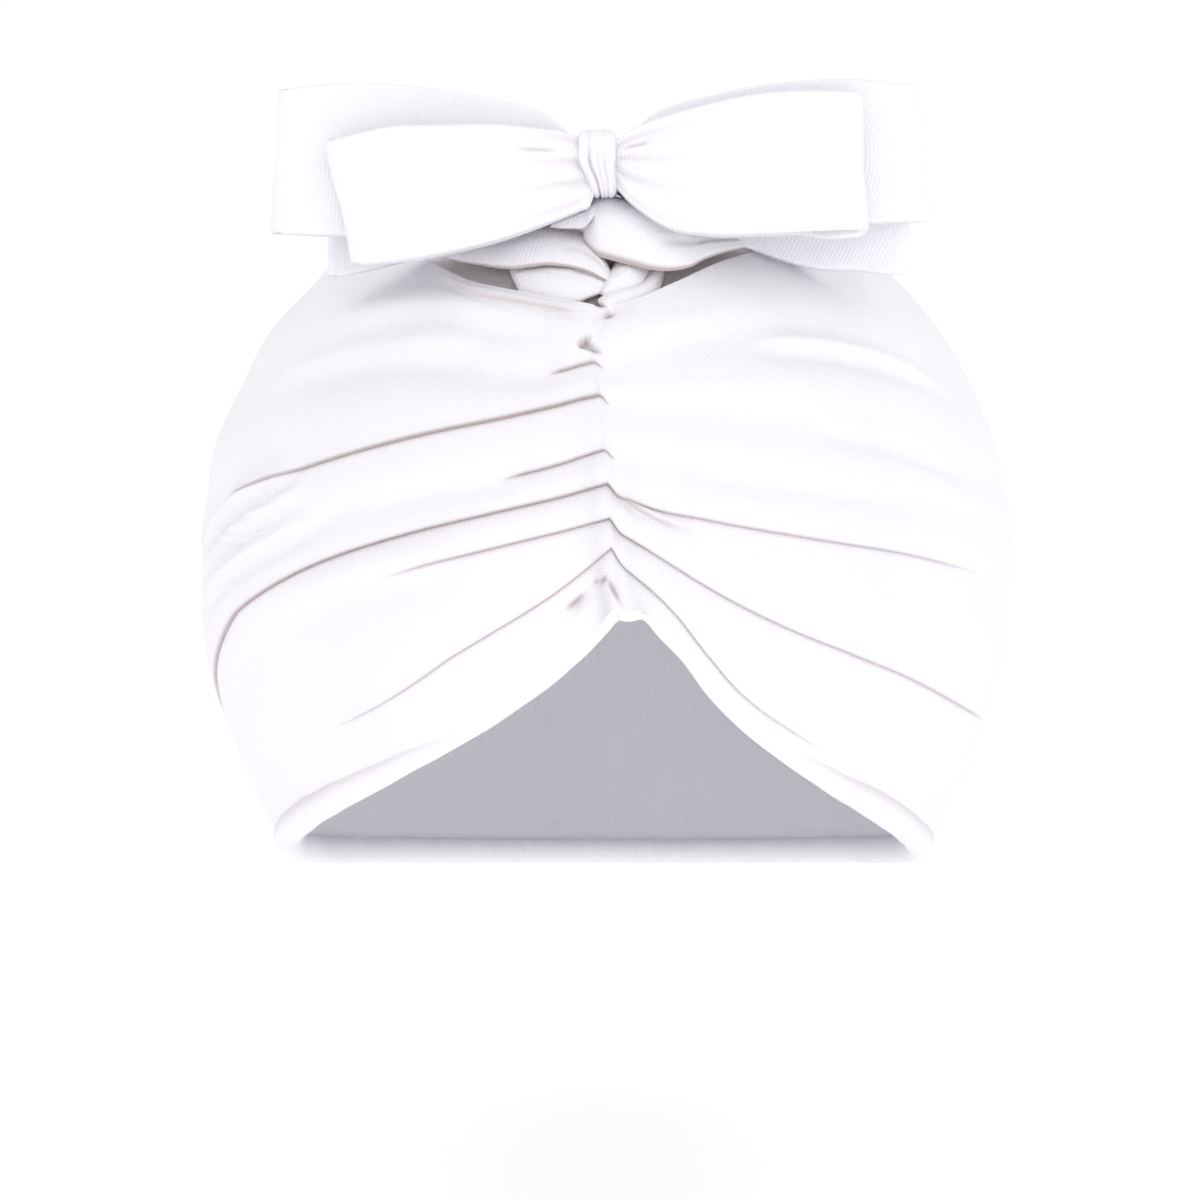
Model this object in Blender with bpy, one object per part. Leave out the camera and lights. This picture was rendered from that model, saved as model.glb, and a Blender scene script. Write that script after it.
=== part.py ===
"""A baby's knot turban hat of doubled white jersey, upright as it is worn, with its front towards -Y.

The frame's origin is the inside top of the crown, where it sits on a head.
"""

import math
from collections import namedtuple

import bpy
import numpy as np

MM = 0.001

# Driving sizes in millimetres. The crown is an egg whose widest level is below its top.
HALF_WIDTH = 74.4
HALF_DEPTH_FRONT = 80.0
HALF_DEPTH_BACK = 86.0
RISE = 73.0
DROP = 88.0
CLOTH = 2.2
BOW_CLOTH = 1.7
PIECE_GAP = 0.8
SEAT = RISE - CLOTH

# The rolled hem is a tube, thinner at the forehead than at the ears.
HEM_RADIUS_FRONT = 1.8
HEM_RADIUS_SIDE = 2.7

# The seam's groove, drawn in by its gathers.
SEAM_GROOVE_DEPTH = 1.1
SEAM_GROOVE_HALF_ANGLE = 2.2

# Where the bow's middle is: beside and ahead of the crown's axis, and above its widest level.
BOW_SIDEWAYS = -1.0
BOW_FORWARD = 49.5
BOW_UP = 73.3
BOW_TILT = 8.0

WHITE_JERSEY = (0.91, 0.90, 0.915, 1.0)
JERSEY_ROUGHNESS = 0.88

# Each fold starts at the seam and runs round to the back. The angles are latitudes on the egg, at
# these azimuths from the front. The lip stands out just above the fold's line, and the roll just
# below it, in millimetres; both have faded out at the azimuth called fade.
AZIMUTHS = (0, 5, 12, 25, 40, 55, 90, 135, 180)
Fold = namedtuple("Fold", "name seam at5 at12 at25 at40 at55 at90 at135 back lip roll fade")

LEFT_FOLDS = (
    Fold("rim", 5.4, -0.2, -5.5, -13.3, -21.2, -28.8, -44.0, -56.5, -60.5, 0.0, 0.0, 90),
    Fold("brow_fold", 13.9, 9.9, 5.0, -3.9, -11.5, -18.5, -29.0, -42.0, -46.0, 1.6, 0.2, 60),
    Fold("temple_fold", 17.4, 16.0, 14.1, 9.9, 3.4, -5.5, -17.0, -29.0, -33.0, 1.7, 0.2, 75),
    Fold("long_fold", 21.5, 20.0, 18.2, 14.4, 8.4, 0.2, -9.0, -18.0, -21.0, 2.2, 0.3, 130),
    Fold("short_fold", 25.7, 24.0, 22.1, 19.2, 14.6, 8.0, 0.0, -8.0, -10.0, 1.6, 0.2, 70),
    Fold("crown_fold", 32.7, 31.3, 29.6, 26.6, 21.9, 16.4, 8.0, 3.0, 2.0, 2.0, 0.3, 130),
    Fold("upper_fold", 38.2, 37.2, 36.6, 36.4, 36.8, 34.5, 24.0, 17.0, 14.0, 1.5, 0.3, 110),
    Fold("knot_edge", 44.6, 45.3, 46.0, 48.0, 51.8, 53.0, 44.0, 35.0, 30.0, -1.6, 1.0, 60),
)
RIGHT_FOLDS = (
    Fold("rim", 5.4, 2.9, -4.3, -13.6, -22.2, -30.0, -44.0, -56.5, -60.5, 0.0, 0.0, 90),
    Fold("brow_fold", 13.9, 8.6, -0.2, -9.4, -17.0, -23.5, -33.0, -42.0, -46.0, 1.7, 0.2, 45),
    Fold("temple_fold", 17.4, 13.6, 8.7, 1.8, -4.4, -10.8, -22.0, -30.0, -33.0, 2.1, 0.3, 120),
    Fold("long_fold", 21.5, 18.9, 17.0, 14.0, 10.3, 5.5, -6.0, -17.0, -21.0, 2.0, 0.3, 95),
    Fold("short_fold", 25.7, 24.7, 24.0, 21.7, 18.3, 13.2, 3.0, -7.0, -10.0, 1.2, 0.2, 90),
    Fold("crown_fold", 32.7, 31.5, 30.5, 28.8, 25.7, 19.2, 9.0, 3.0, 2.0, 1.5, 0.3, 110),
    Fold("upper_fold", 38.5, 39.0, 39.5, 39.9, 37.9, 32.7, 21.0, 15.0, 14.0, 1.4, 0.3, 110),
    Fold("knot_edge", 44.6, 45.6, 48.0, 52.2, 54.0, 50.0, 40.0, 33.0, 30.0, -2.0, 0.8, 60),
)

# The columns of the crown's mesh are closest together at the seam.
HALF_COLUMNS = (
    0, 1.5, 3.5, 6.5, 10, 14, 18.5, 23, 28, 33, 38.5, 44, 50, 56,
    62, 68, 75, 82, 90, 98, 107, 117, 128, 140, 153, 167, 180,
)
OUTSIDE_SHARES = (0.0, 0.13, 0.5, 0.87)
INSIDE_SHARES = (0.0, 0.5)
CAP_SHARES = (0.0, 0.1, 0.25, 0.42, 0.6, 0.8)


def smooth_step(low, high, value):
    share = np.clip((np.asarray(value, float) - low) / (high - low), 0.0, 1.0)
    return share * share * (3.0 - 2.0 * share)


def through(stations, values, at):
    """A smooth curve through the values, with Hermite pieces, level at its last station."""
    stations = np.asarray(stations, float)
    values = np.asarray(values, float)
    slopes = np.gradient(values, stations)
    slopes[-1] = 0.0
    piece = np.clip(np.searchsorted(stations, at, "right") - 1, 0, len(stations) - 2)
    span = stations[piece + 1] - stations[piece]
    t = (np.asarray(at, float) - stations[piece]) / span
    return (
        (2 * t**3 - 3 * t**2 + 1) * values[piece]
        + (t**3 - 2 * t**2 + t) * span * slopes[piece]
        + (3 * t**2 - 2 * t**3) * values[piece + 1]
        + (t**3 - t**2) * span * slopes[piece + 1]
    )


def unit(vectors):
    return vectors / np.linalg.norm(vectors, axis=-1, keepdims=True)


def egg(azimuth, latitude, lift):
    """Points that stand off the egg by lift, and the outward directions there."""
    azimuth, latitude, lift = np.broadcast_arrays(azimuth, latitude, lift)
    a, e = np.radians(azimuth), np.radians(latitude)
    direction = np.stack([np.sin(a) * np.cos(e), -np.cos(a) * np.cos(e), np.sin(e)], -1)
    half = np.stack(
        [
            np.full(a.shape, HALF_WIDTH),
            np.where(np.cos(a) > 0, HALF_DEPTH_FRONT, HALF_DEPTH_BACK),
            np.where(e > 0, RISE, DROP),
        ],
        -1,
    )
    outward = unit(direction / half)
    return direction * half + lift[..., None] * outward, outward


def fold_latitude(index, azimuth):
    """The latitude of one fold's line at an azimuth from -180 to 180."""
    folds = LEFT_FOLDS if azimuth < 0 else RIGHT_FOLDS
    return float(through(AZIMUTHS, folds[index][1:10], abs(azimuth)))


def fold_heights(index, azimuth):
    """How far the lip above a fold's line and the roll below it stand out."""
    fold = (LEFT_FOLDS if azimuth < 0 else RIGHT_FOLDS)[index]
    kept = 1.0 - float(smooth_step(0.15 * fold.fade, fold.fade, abs(azimuth)))
    return fold.lip * kept, fold.roll * kept


def seam_groove(azimuth, latitude):
    kept = 1.0 - float(smooth_step(44.0, 54.0, latitude))
    return -SEAM_GROOVE_DEPTH * kept * math.exp(-((azimuth / SEAM_GROOVE_HALF_ANGLE) ** 2))


def hem_radius(azimuth):
    kept = float(smooth_step(8.0, 38.0, abs(azimuth)))
    return HEM_RADIUS_FRONT + (HEM_RADIUS_SIDE - HEM_RADIUS_FRONT) * kept


def rim_steepness(azimuth):
    """How much longer the rim's line is than its run round the head."""
    ahead = fold_latitude(0, min(azimuth + 1.0, 180.0))
    behind = fold_latitude(0, max(azimuth - 1.0, -180.0))
    flat = 2.0 * math.cos(math.radians(fold_latitude(0, azimuth)))
    return math.hypot(1.0, (ahead - behind) / flat)


def above_rim(azimuth, height):
    """The latitude that is height millimetres above the hem's lower edge, square to the edge."""
    per_degree = math.radians(HALF_DEPTH_FRONT)
    return fold_latitude(0, azimuth) + height * rim_steepness(azimuth) / per_degree


def line_latitude(index, azimuth):
    if index == 0:
        return above_rim(azimuth, 2 * hem_radius(azimuth) + PIECE_GAP)
    return fold_latitude(index, azimuth)


def height_at(index, share, azimuth):
    """The outside's height over the egg, at a share of the way from one fold's line to the next."""
    lip, _ = fold_heights(index, azimuth)
    if index + 1 < len(LEFT_FOLDS):
        roll = fold_heights(index + 1, azimuth)[1]
    else:
        roll = 0.0
    foot = -0.4 * abs(lip)
    return float(np.interp(share, (0.0, 0.13, 0.5, 0.87, 1.0), (foot, lip, 0.55 * lip, roll, 0.0)))


def crown_columns():
    right = list(HALF_COLUMNS)
    left = [-angle for angle in reversed(HALF_COLUMNS[1:-1])]
    return left + right


def crown_rows(shares):
    rows = [(i, s) for i in range(len(LEFT_FOLDS) - 1) for s in shares]
    return rows + [(len(LEFT_FOLDS) - 1, s) for s in CAP_SHARES]


def crown_sheet(shares, height_share, sink):
    """One skin of the crown as rows of points from the rim up, and its top point."""
    rows = []
    for index, share in crown_rows(shares):
        row = []
        for azimuth in crown_columns():
            low = line_latitude(index, azimuth)
            last = index + 1 == len(LEFT_FOLDS)
            high = 90.0 if last else line_latitude(index + 1, azimuth)
            latitude = low + share * (high - low)
            height = height_at(index, share, azimuth) + seam_groove(azimuth, latitude)
            row.append(egg(azimuth, latitude, height_share * height - sink)[0])
        rows.append(row)
    top = egg(0.0, 90.0, -sink)[0]
    return np.array(rows), top


def strip_faces(lower, upper):
    """Quads between two closed rings of point numbers."""
    n = len(lower)
    return [(lower[i], lower[(i + 1) % n], upper[(i + 1) % n], upper[i]) for i in range(n)]


def turned(faces):
    return [tuple(reversed(face)) for face in faces]


def make_piece(name, points, faces):
    """A named object with its own jersey, from points in millimetres about the widest level."""
    mesh = bpy.data.meshes.new(name)
    placed = (np.asarray(points) - (0.0, 0.0, SEAT)) * MM
    mesh.from_pydata([tuple(point) for point in placed], [], faces)
    mesh.validate()
    mesh.update()
    mesh.shade_smooth()
    material = bpy.data.materials.new(name + "_jersey")
    material.use_nodes = True
    shader = material.node_tree.nodes["Principled BSDF"]
    shader.inputs["Base Color"].default_value = WHITE_JERSEY
    shader.inputs["Roughness"].default_value = JERSEY_ROUGHNESS
    shader.inputs["Metallic"].default_value = 0.0
    mesh.materials.append(material)
    piece = bpy.data.objects.new(name, mesh)
    bpy.context.scene.collection.objects.link(piece)
    return piece


def skin_faces(first, row_count, columns, top):
    rings = [list(range(first + r * columns, first + (r + 1) * columns)) for r in range(row_count)]
    faces = []
    for lower, upper in zip(rings, rings[1:]):
        faces += strip_faces(lower, upper)
    last = rings[-1]
    faces += [(last[i], last[(i + 1) % columns], top) for i in range(columns)]
    return rings, faces


def build_crown():
    outside, outside_top = crown_sheet(OUTSIDE_SHARES, 1.0, 0.0)
    inside, inside_top = crown_sheet(INSIDE_SHARES, 0.45, CLOTH)
    columns = outside.shape[1]
    outside_count = outside.shape[0] * columns
    inside_count = inside.shape[0] * columns
    top_number = outside_count + inside_count
    points = np.concatenate([outside.reshape(-1, 3), inside.reshape(-1, 3), [outside_top, inside_top]])
    outer_rings, outer = skin_faces(0, outside.shape[0], columns, top_number)
    inner_rings, inner = skin_faces(outside_count, inside.shape[0], columns, top_number + 1)
    edge = strip_faces(inner_rings[0], outer_rings[0])
    make_piece("crown", points, outer + turned(inner) + edge)


def tube(path, across, outward, half_across, half_out, sides, closed):
    """Points and faces of a tube with an oval section, closed on itself or capped at both ends."""
    angles = 2 * math.pi * np.arange(sides) / sides
    rings = (
        path[:, None]
        + across[:, None] * (half_across[:, None] * np.cos(angles))[..., None]
        + outward[:, None] * (half_out[:, None] * np.sin(angles))[..., None]
    )
    numbers = np.arange(len(path) * sides).reshape(len(path), sides)
    faces = []
    for here, there in zip(numbers, np.roll(numbers, -1, axis=0) if closed else numbers[1:]):
        faces += strip_faces(list(here), list(there))
    if not closed:
        faces += [tuple(reversed(numbers[0])), tuple(numbers[-1])]
    return rings.reshape(-1, 3), faces


def build_rolled_hem():
    columns = np.array(crown_columns())
    radius = np.array([hem_radius(azimuth) for azimuth in columns])
    latitude = np.array([above_rim(azimuth, r) for azimuth, r in zip(columns, radius)])
    path, outward = egg(columns, latitude, -0.35 * CLOTH)
    along = unit(np.roll(path, -1, axis=0) - np.roll(path, 1, axis=0))
    up = unit(np.cross(outward, along))
    points, faces = tube(path, up, unit(np.cross(along, up)), radius, 0.92 * radius, 10, True)
    make_piece("rolled_hem", points, faces)


# The knot's strands lie on the crown. Each row is a place along the strand.
Place = namedtuple("Place", "azimuth latitude width thickness lift")

STRANDS = {
    "knot_wrap_right": (
        Place(-4.2, 56.3, 3.0, 2.6, 2.6),
        Place(-2.2, 56.0, 7.4, 5.4, 2.9),
        Place(3.0, 55.2, 9.2, 7.0, 3.2),
        Place(7.8, 53.6, 8.4, 6.6, 3.0),
        Place(13.5, 52.5, 6.8, 5.4, 2.5),
        Place(20.0, 52.6, 4.6, 3.6, 1.8),
        Place(26.5, 52.7, 2.4, 2.0, 1.6),
    ),
    "knot_wrap_left_upper": (
        Place(-35.4, 51.4, 1.6, 1.6, 1.3),
        Place(-29.0, 51.6, 2.8, 2.6, 1.5),
        Place(-22.6, 51.7, 4.2, 3.8, 1.7),
        Place(-16.6, 51.6, 5.2, 5.0, 1.8),
        Place(-11.8, 51.9, 5.6, 5.0, 1.8),
        Place(-8.0, 52.0, 5.6, 4.8, 1.8),
        Place(-4.8, 51.6, 4.8, 3.8, 1.6),
        Place(-2.0, 50.8, 3.6, 2.8, 1.3),
        Place(0.2, 50.1, 1.6, 1.4, 1.1),
    ),
    "knot_wrap_left_lower": (
        Place(-22.5, 48.6, 1.2, 1.2, 1.5),
        Place(-17.0, 48.1, 3.0, 2.8, 1.6),
        Place(-12.6, 47.5, 4.6, 4.0, 1.8),
        Place(-8.4, 47.1, 5.2, 4.2, 1.9),
        Place(-4.8, 47.2, 4.4, 3.6, 1.8),
        Place(-2.4, 47.4, 2.0, 1.8, 1.6),
    ),
    "knot_tuck": (
        Place(-15.5, 56.8, 0.9, 0.9, 1.9),
        Place(-12.0, 57.0, 2.0, 2.2, 2.0),
        Place(-8.8, 57.1, 3.0, 3.2, 2.1),
        Place(-6.4, 57.0, 2.6, 2.4, 2.2),
        Place(-5.0, 56.9, 1.6, 1.4, 2.3),
    ),
    "knot_loop_upper": (
        Place(-0.8, 48.3, 1.2, 1.2, 1.6),
        Place(1.4, 48.2, 3.0, 2.8, 1.7),
        Place(4.0, 48.6, 3.2, 2.8, 1.7),
        Place(7.0, 49.2, 1.4, 1.4, 1.5),
    ),
    "knot_loop_lower": (
        Place(-1.0, 45.5, 1.3, 1.3, 1.4),
        Place(1.6, 45.4, 3.0, 2.8, 1.5),
        Place(5.0, 46.0, 3.0, 2.8, 1.5),
        Place(8.4, 47.3, 2.4, 2.2, 1.4),
        Place(12.0, 48.6, 1.2, 1.2, 1.2),
    ),
}


def build_strand(name, places):
    azimuth, latitude, width, thickness, lift = np.array(places, float).T
    path, outward = egg(azimuth, latitude, lift)
    along = unit(np.gradient(path, axis=0))
    up = unit(np.cross(outward, along))
    points, faces = tube(path, up, unit(np.cross(along, up)), width / 2, thickness / 2, 10, False)
    make_piece(name, points, faces)


# Each bow is a strip sewn into a ring and pinched in the middle. A row is a place across the bow:
# sideways from its middle, the strip's upper and lower edges, and how far forward the front and
# the back of the ring are.
Across = namedtuple("Across", "sideways top bottom front back")

BOWS = {
    "front_bow": (
        Across(-39.5, 4.2, -15.0, 2.6, 0.4),
        Across(-32.0, 6.0, -14.7, 4.8, -0.6),
        Across(-24.0, 6.2, -14.0, 5.2, -0.9),
        Across(-17.0, 6.4, -12.6, 4.6, -1.0),
        Across(-9.7, 5.9, -10.3, 3.0, -1.05),
        Across(-4.6, 5.3, -7.0, 1.5, -1.05),
        Across(-2.4, 3.6, -3.6, 1.05, -1.05),
        Across(2.4, 3.6, -3.6, 1.05, -1.05),
        Across(4.6, 5.6, -5.0, 1.6, -1.05),
        Across(10.7, 7.9, -9.3, 3.4, -1.05),
        Across(17.0, 9.2, -10.4, 4.8, -1.0),
        Across(25.0, 10.5, -10.4, 5.4, -0.9),
        Across(34.0, 10.8, -10.0, 5.0, -0.5),
        Across(42.4, 10.9, -9.7, 2.8, 0.6),
    ),
    "back_bow": (
        Across(-50.2, 12.2, -9.7, -3.4, -6.2),
        Across(-42.0, 13.0, -10.0, -2.9, -7.8),
        Across(-30.0, 12.6, -9.6, -2.9, -7.6),
        Across(-18.0, 10.8, -8.6, -3.0, -6.6),
        Across(-9.0, 8.4, -6.6, -3.1, -5.7),
        Across(-2.4, 3.6, -3.6, -3.15, -5.25),
        Across(2.4, 3.6, -3.6, -3.15, -5.25),
        Across(9.0, 8.4, -6.4, -3.1, -5.7),
        Across(18.0, 11.2, -7.6, -3.0, -6.6),
        Across(30.0, 13.2, -8.2, -2.9, -7.6),
        Across(42.0, 13.6, -8.1, -2.9, -7.8),
        Across(50.0, 13.0, -7.8, -3.4, -6.2),
    ),
    "under_bow": (
        Across(-43.0, 1.0, -16.2, -10.2, -12.2),
        Across(-35.0, 4.0, -14.4, -10.2, -13.0),
        Across(-25.0, 6.0, -11.6, -9.6, -12.2),
        Across(-14.0, 6.2, -8.4, -8.6, -10.9),
        Across(-7.0, 5.4, -5.8, -7.6, -9.9),
        Across(-2.4, 3.6, -3.6, -7.35, -9.45),
        Across(2.4, 3.6, -3.6, -7.35, -9.45),
        Across(7.0, 5.4, -6.0, -7.6, -9.9),
        Across(14.0, 6.2, -8.6, -8.6, -10.9),
        Across(24.0, 5.4, -11.6, -9.6, -12.2),
        Across(35.0, 4.0, -14.8, -9.8, -13.0),
        Across(43.0, 2.6, -15.8, -9.6, -12.6),
        Across(49.2, 1.6, -17.2, -9.2, -11.4),
    ),
}
# How far the top of each end stands further out than its bottom.
LEANS = {"front_bow": (-4.2, -1.2), "back_bow": (1.6, -2.2), "under_bow": (-0.6, 1.6)}
STRIP_ROWS = 5


def bow_point(sideways, up, forward):
    """A point of the bow's own upright frame, tilted back and set ahead of the crown's axis."""
    tilt = math.radians(BOW_TILT)
    return np.stack(
        [
            sideways + BOW_SIDEWAYS,
            -BOW_FORWARD - forward * math.cos(tilt) + up * math.sin(tilt),
            BOW_UP + up * math.cos(tilt) + forward * math.sin(tilt),
        ],
        -1,
    )


def ring_path(rows):
    """Once round the ring: along its front, round the right end, and back along its back."""
    x, top, bottom, front, back = np.array(rows, float).T
    sideways = np.concatenate([x, x[::-1]])
    forward = np.concatenate([front, back[::-1]])
    return sideways, forward, np.concatenate([top, top[::-1]]), np.concatenate([bottom, bottom[::-1]])


def ring_outward(sideways, forward):
    """The direction out of the ring at each point of its path, seen from above."""
    dx = np.roll(sideways, -1) - np.roll(sideways, 1)
    dy = np.roll(forward, -1) - np.roll(forward, 1)
    length = np.hypot(dx, dy)
    return -dy / length, dx / length


def band(sideways, forward, top, bottom, lean, thickness):
    """A closed ring of cloth: outer skin, inner skin, and the two edges of the strip."""
    out_x, out_y = ring_outward(sideways, forward)
    skins = []
    for side in (0.5, -0.5):
        for share in np.linspace(0.0, 1.0, STRIP_ROWS):
            slant = lean * (share - 0.5)
            skins.append(
                bow_point(
                    sideways + slant + side * thickness * out_x,
                    bottom + share * (top - bottom),
                    forward + side * thickness * out_y,
                )
            )
    points = np.concatenate(skins)
    count = len(sideways)
    rings = [list(range(r * count, (r + 1) * count)) for r in range(2 * STRIP_ROWS)]
    outer, inner = rings[:STRIP_ROWS], rings[STRIP_ROWS:]
    faces = []
    for lower, upper in zip(outer, outer[1:]):
        faces += strip_faces(lower, upper)
    for lower, upper in zip(inner, inner[1:]):
        faces += turned(strip_faces(lower, upper))
    faces += strip_faces(outer[-1], inner[-1])
    faces += strip_faces(inner[0], outer[0])
    return points, faces


def build_bow(name, rows):
    sideways, forward, top, bottom = ring_path(rows)
    left, right = LEANS[name]
    reach = np.abs(sideways) / np.abs(sideways).max()
    lean = np.where(sideways < 0, left, right) * reach**4
    points, faces = band(sideways, forward, top, bottom, lean, BOW_CLOTH)
    make_piece(name, points, faces)


# The tie goes round the pinched middles of all three bows.
TIE_HALF_WIDTH = 2.1
TIE_INSIDE_HEIGHT = 8.2
TIE_INSIDE_FRONT = 2.3
TIE_INSIDE_BACK = -10.7
TIE_CORNER = 0.8
CORNER_STEPS = 4


def rounded_box(half_depth, half_height, corner):
    """Once round a box with rounded corners, as places forward and up from its middle."""
    places = []
    for quarter, (side, level) in enumerate(((1, 1), (-1, 1), (-1, -1), (1, -1))):
        for step in range(CORNER_STEPS + 1):
            turn = math.pi / 2 * (quarter + step / CORNER_STEPS)
            forward = side * (half_depth - corner) + corner * math.cos(turn)
            up = level * (half_height - corner) + corner * math.sin(turn)
            places.append((forward, up))
    return np.array(places).T


def build_bow_tie():
    middle = (TIE_INSIDE_FRONT + TIE_INSIDE_BACK) / 2
    half_depth = (TIE_INSIDE_FRONT - TIE_INSIDE_BACK) / 2
    skins = []
    for grown in (BOW_CLOTH, 0.0):
        forward, up = rounded_box(
            half_depth + grown, TIE_INSIDE_HEIGHT / 2 + grown, TIE_CORNER + grown
        )
        for sideways in (-TIE_HALF_WIDTH, TIE_HALF_WIDTH):
            skins.append(bow_point(np.full(len(up), sideways), up, middle + forward))
    count = len(skins[0])
    outer_left, outer_right, inner_left, inner_right = (
        list(range(r * count, (r + 1) * count)) for r in range(4)
    )
    faces = strip_faces(outer_left, outer_right)
    faces += strip_faces(outer_right, inner_right)
    faces += strip_faces(inner_right, inner_left)
    faces += strip_faces(inner_left, outer_left)
    make_piece("bow_tie", np.concatenate(skins), turned(faces))


def clear_scene():
    for piece in list(bpy.data.objects):
        bpy.data.objects.remove(piece, do_unlink=True)


clear_scene()
build_crown()
build_rolled_hem()
for strand_name, strand_places in STRANDS.items():
    build_strand(strand_name, strand_places)
for bow_name, bow_rows in BOWS.items():
    build_bow(bow_name, bow_rows)
build_bow_tie()
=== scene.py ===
import math
from collections import namedtuple

import bpy
import numpy as np
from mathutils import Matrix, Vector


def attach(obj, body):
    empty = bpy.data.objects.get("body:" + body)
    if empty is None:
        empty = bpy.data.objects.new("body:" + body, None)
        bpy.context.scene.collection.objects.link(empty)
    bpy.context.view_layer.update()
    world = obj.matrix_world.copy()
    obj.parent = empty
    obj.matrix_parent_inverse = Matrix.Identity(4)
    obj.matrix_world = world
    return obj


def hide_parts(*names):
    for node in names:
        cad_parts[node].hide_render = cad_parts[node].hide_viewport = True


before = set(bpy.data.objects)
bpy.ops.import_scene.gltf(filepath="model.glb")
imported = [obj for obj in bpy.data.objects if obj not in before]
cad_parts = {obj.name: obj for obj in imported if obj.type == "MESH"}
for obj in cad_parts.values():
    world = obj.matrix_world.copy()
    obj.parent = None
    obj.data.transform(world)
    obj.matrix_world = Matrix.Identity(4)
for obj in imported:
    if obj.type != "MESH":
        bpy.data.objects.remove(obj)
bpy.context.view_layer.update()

# The studio. The hat is held up at its mount over a plain pale floor, and the camera stands where
# the photograph was taken from: straight in front, a little above the crown's widest level. Broad
# soft lights ahead of it leave only thin shadows in the folds.
MM = 0.001
# The hat's own sizes are in millimetres, from the crown's middle, which is SEAT under the mount.
SEAT = 70.8
CAMERA_RISE = 12.0
CAMERA_DISTANCE = 406.5
LENS = 65.0
SENSOR = 36.0
PHOTO_SIDE = 1200
HAT_MIDDLE_PIXEL_X = 606
HAT_MIDDLE_PIXEL_Y = 555
FLOOR_LEVEL = -0.190
FLOOR_HALF_SIDE = 12.0
FLOOR_WHITE = (0.95, 0.95, 0.955, 1.0)
FLOOR_GLOW = 0.22
SKY_WHITE = (1.0, 1.0, 1.0, 1.0)
SKY_STRENGTH = 0.975
# Each lamp's place, the place it is turned to and its width are in metres.
Lamp = namedtuple("Lamp", "name place aim width strength")
LAMPS = (
    Lamp("key_lamp", (0.75, -1.25, 0.80), (0.0, 0.0, -0.05), 0.8, 1.4),
    Lamp("front_lamp", (0.05, -1.50, 0.50), (0.0, 0.0, -0.04), 0.9, 1.9),
    Lamp("low_lamp", (0.05, -1.00, -0.13), (0.0, 0.10, -0.13), 0.35, 0.45),
)


def set_camera():
    rise = math.radians(CAMERA_RISE)
    reach = CAMERA_DISTANCE * MM
    lens = bpy.data.cameras.new("photo_camera")
    lens.lens = LENS
    lens.sensor_width = SENSOR
    lens.shift_x = (PHOTO_SIDE / 2 - HAT_MIDDLE_PIXEL_X) / PHOTO_SIDE
    lens.shift_y = (HAT_MIDDLE_PIXEL_Y - PHOTO_SIDE / 2) / PHOTO_SIDE
    camera = bpy.data.objects.new("photo_camera", lens)
    camera.location = (0.0, -reach * math.cos(rise), reach * math.sin(rise) - SEAT * MM)
    camera.rotation_euler = (math.pi / 2 - rise, 0.0, 0.0)
    bpy.context.scene.collection.objects.link(camera)
    bpy.context.scene.camera = camera


def hang_lamp(lamp):
    light = bpy.data.lights.new(lamp.name, "AREA")
    light.shape = "DISK"
    light.size = lamp.width
    light.energy = lamp.strength
    holder = bpy.data.objects.new(lamp.name, light)
    holder.location = lamp.place
    towards = Vector(lamp.aim) - Vector(lamp.place)
    holder.rotation_euler = towards.to_track_quat("-Z", "Y").to_euler()
    bpy.context.scene.collection.objects.link(holder)


def lay_floor():
    half = FLOOR_HALF_SIDE
    corners = [(-half, -half, 0), (half, -half, 0), (half, half, 0), (-half, half, 0)]
    mesh = bpy.data.meshes.new("floor")
    mesh.from_pydata(corners, [], [(0, 1, 2, 3)])
    paint = bpy.data.materials.new("pale_floor")
    paint.use_nodes = True
    shader = paint.node_tree.nodes["Principled BSDF"]
    shader.inputs["Base Color"].default_value = FLOOR_WHITE
    shader.inputs["Roughness"].default_value = 0.9
    shader.inputs["Specular IOR Level"].default_value = 0.1
    shader.inputs["Emission Color"].default_value = SKY_WHITE
    shader.inputs["Emission Strength"].default_value = FLOOR_GLOW
    mesh.materials.append(paint)
    floor = bpy.data.objects.new("floor", mesh)
    floor.location = (0.0, 0.0, FLOOR_LEVEL)
    bpy.context.scene.collection.objects.link(floor)


def light_the_sky():
    sky = bpy.data.worlds.new("studio_white")
    sky.use_nodes = True
    background = sky.node_tree.nodes["Background"]
    background.inputs["Color"].default_value = SKY_WHITE
    background.inputs["Strength"].default_value = SKY_STRENGTH
    seen = sky.node_tree.nodes.new("ShaderNodeBackground")
    seen.inputs["Color"].default_value = SKY_WHITE
    rays = sky.node_tree.nodes.new("ShaderNodeLightPath")
    either = sky.node_tree.nodes.new("ShaderNodeMixShader")
    links = sky.node_tree.links
    links.new(rays.outputs["Is Camera Ray"], either.inputs[0])
    links.new(background.outputs[0], either.inputs[1])
    links.new(seen.outputs[0], either.inputs[2])
    links.new(either.outputs[0], sky.node_tree.nodes["World Output"].inputs["Surface"])
    bpy.context.scene.world = sky
    bpy.context.scene.view_settings.view_transform = "Standard"


set_camera()
for studio_lamp in LAMPS:
    hang_lamp(studio_lamp)
lay_floor()
light_the_sky()

# The crown: one shell of doubled white jersey, gathered into a seam down the middle of the front.
# Its folds start at the seam, each lapping over the one below, and ease out round the back.
# Azimuths are degrees round from the middle of the front, and latitudes up from the widest level.
HALF_WIDTH = 74.4
HALF_DEPTH_FRONT = 80.0
HALF_DEPTH_BACK = 86.0
MM_PER_DEGREE = math.radians(HALF_DEPTH_FRONT)
RISE = 73.0
DROP = 88.0
CLOTH = 2.2
HEM_RADIUS_FRONT = 1.15
HEM_RADIUS_SIDE = 2.7
HEM_RADIUS_CHANGE = (10.0, 42.0)
HEM_COVER = 0.9

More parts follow.
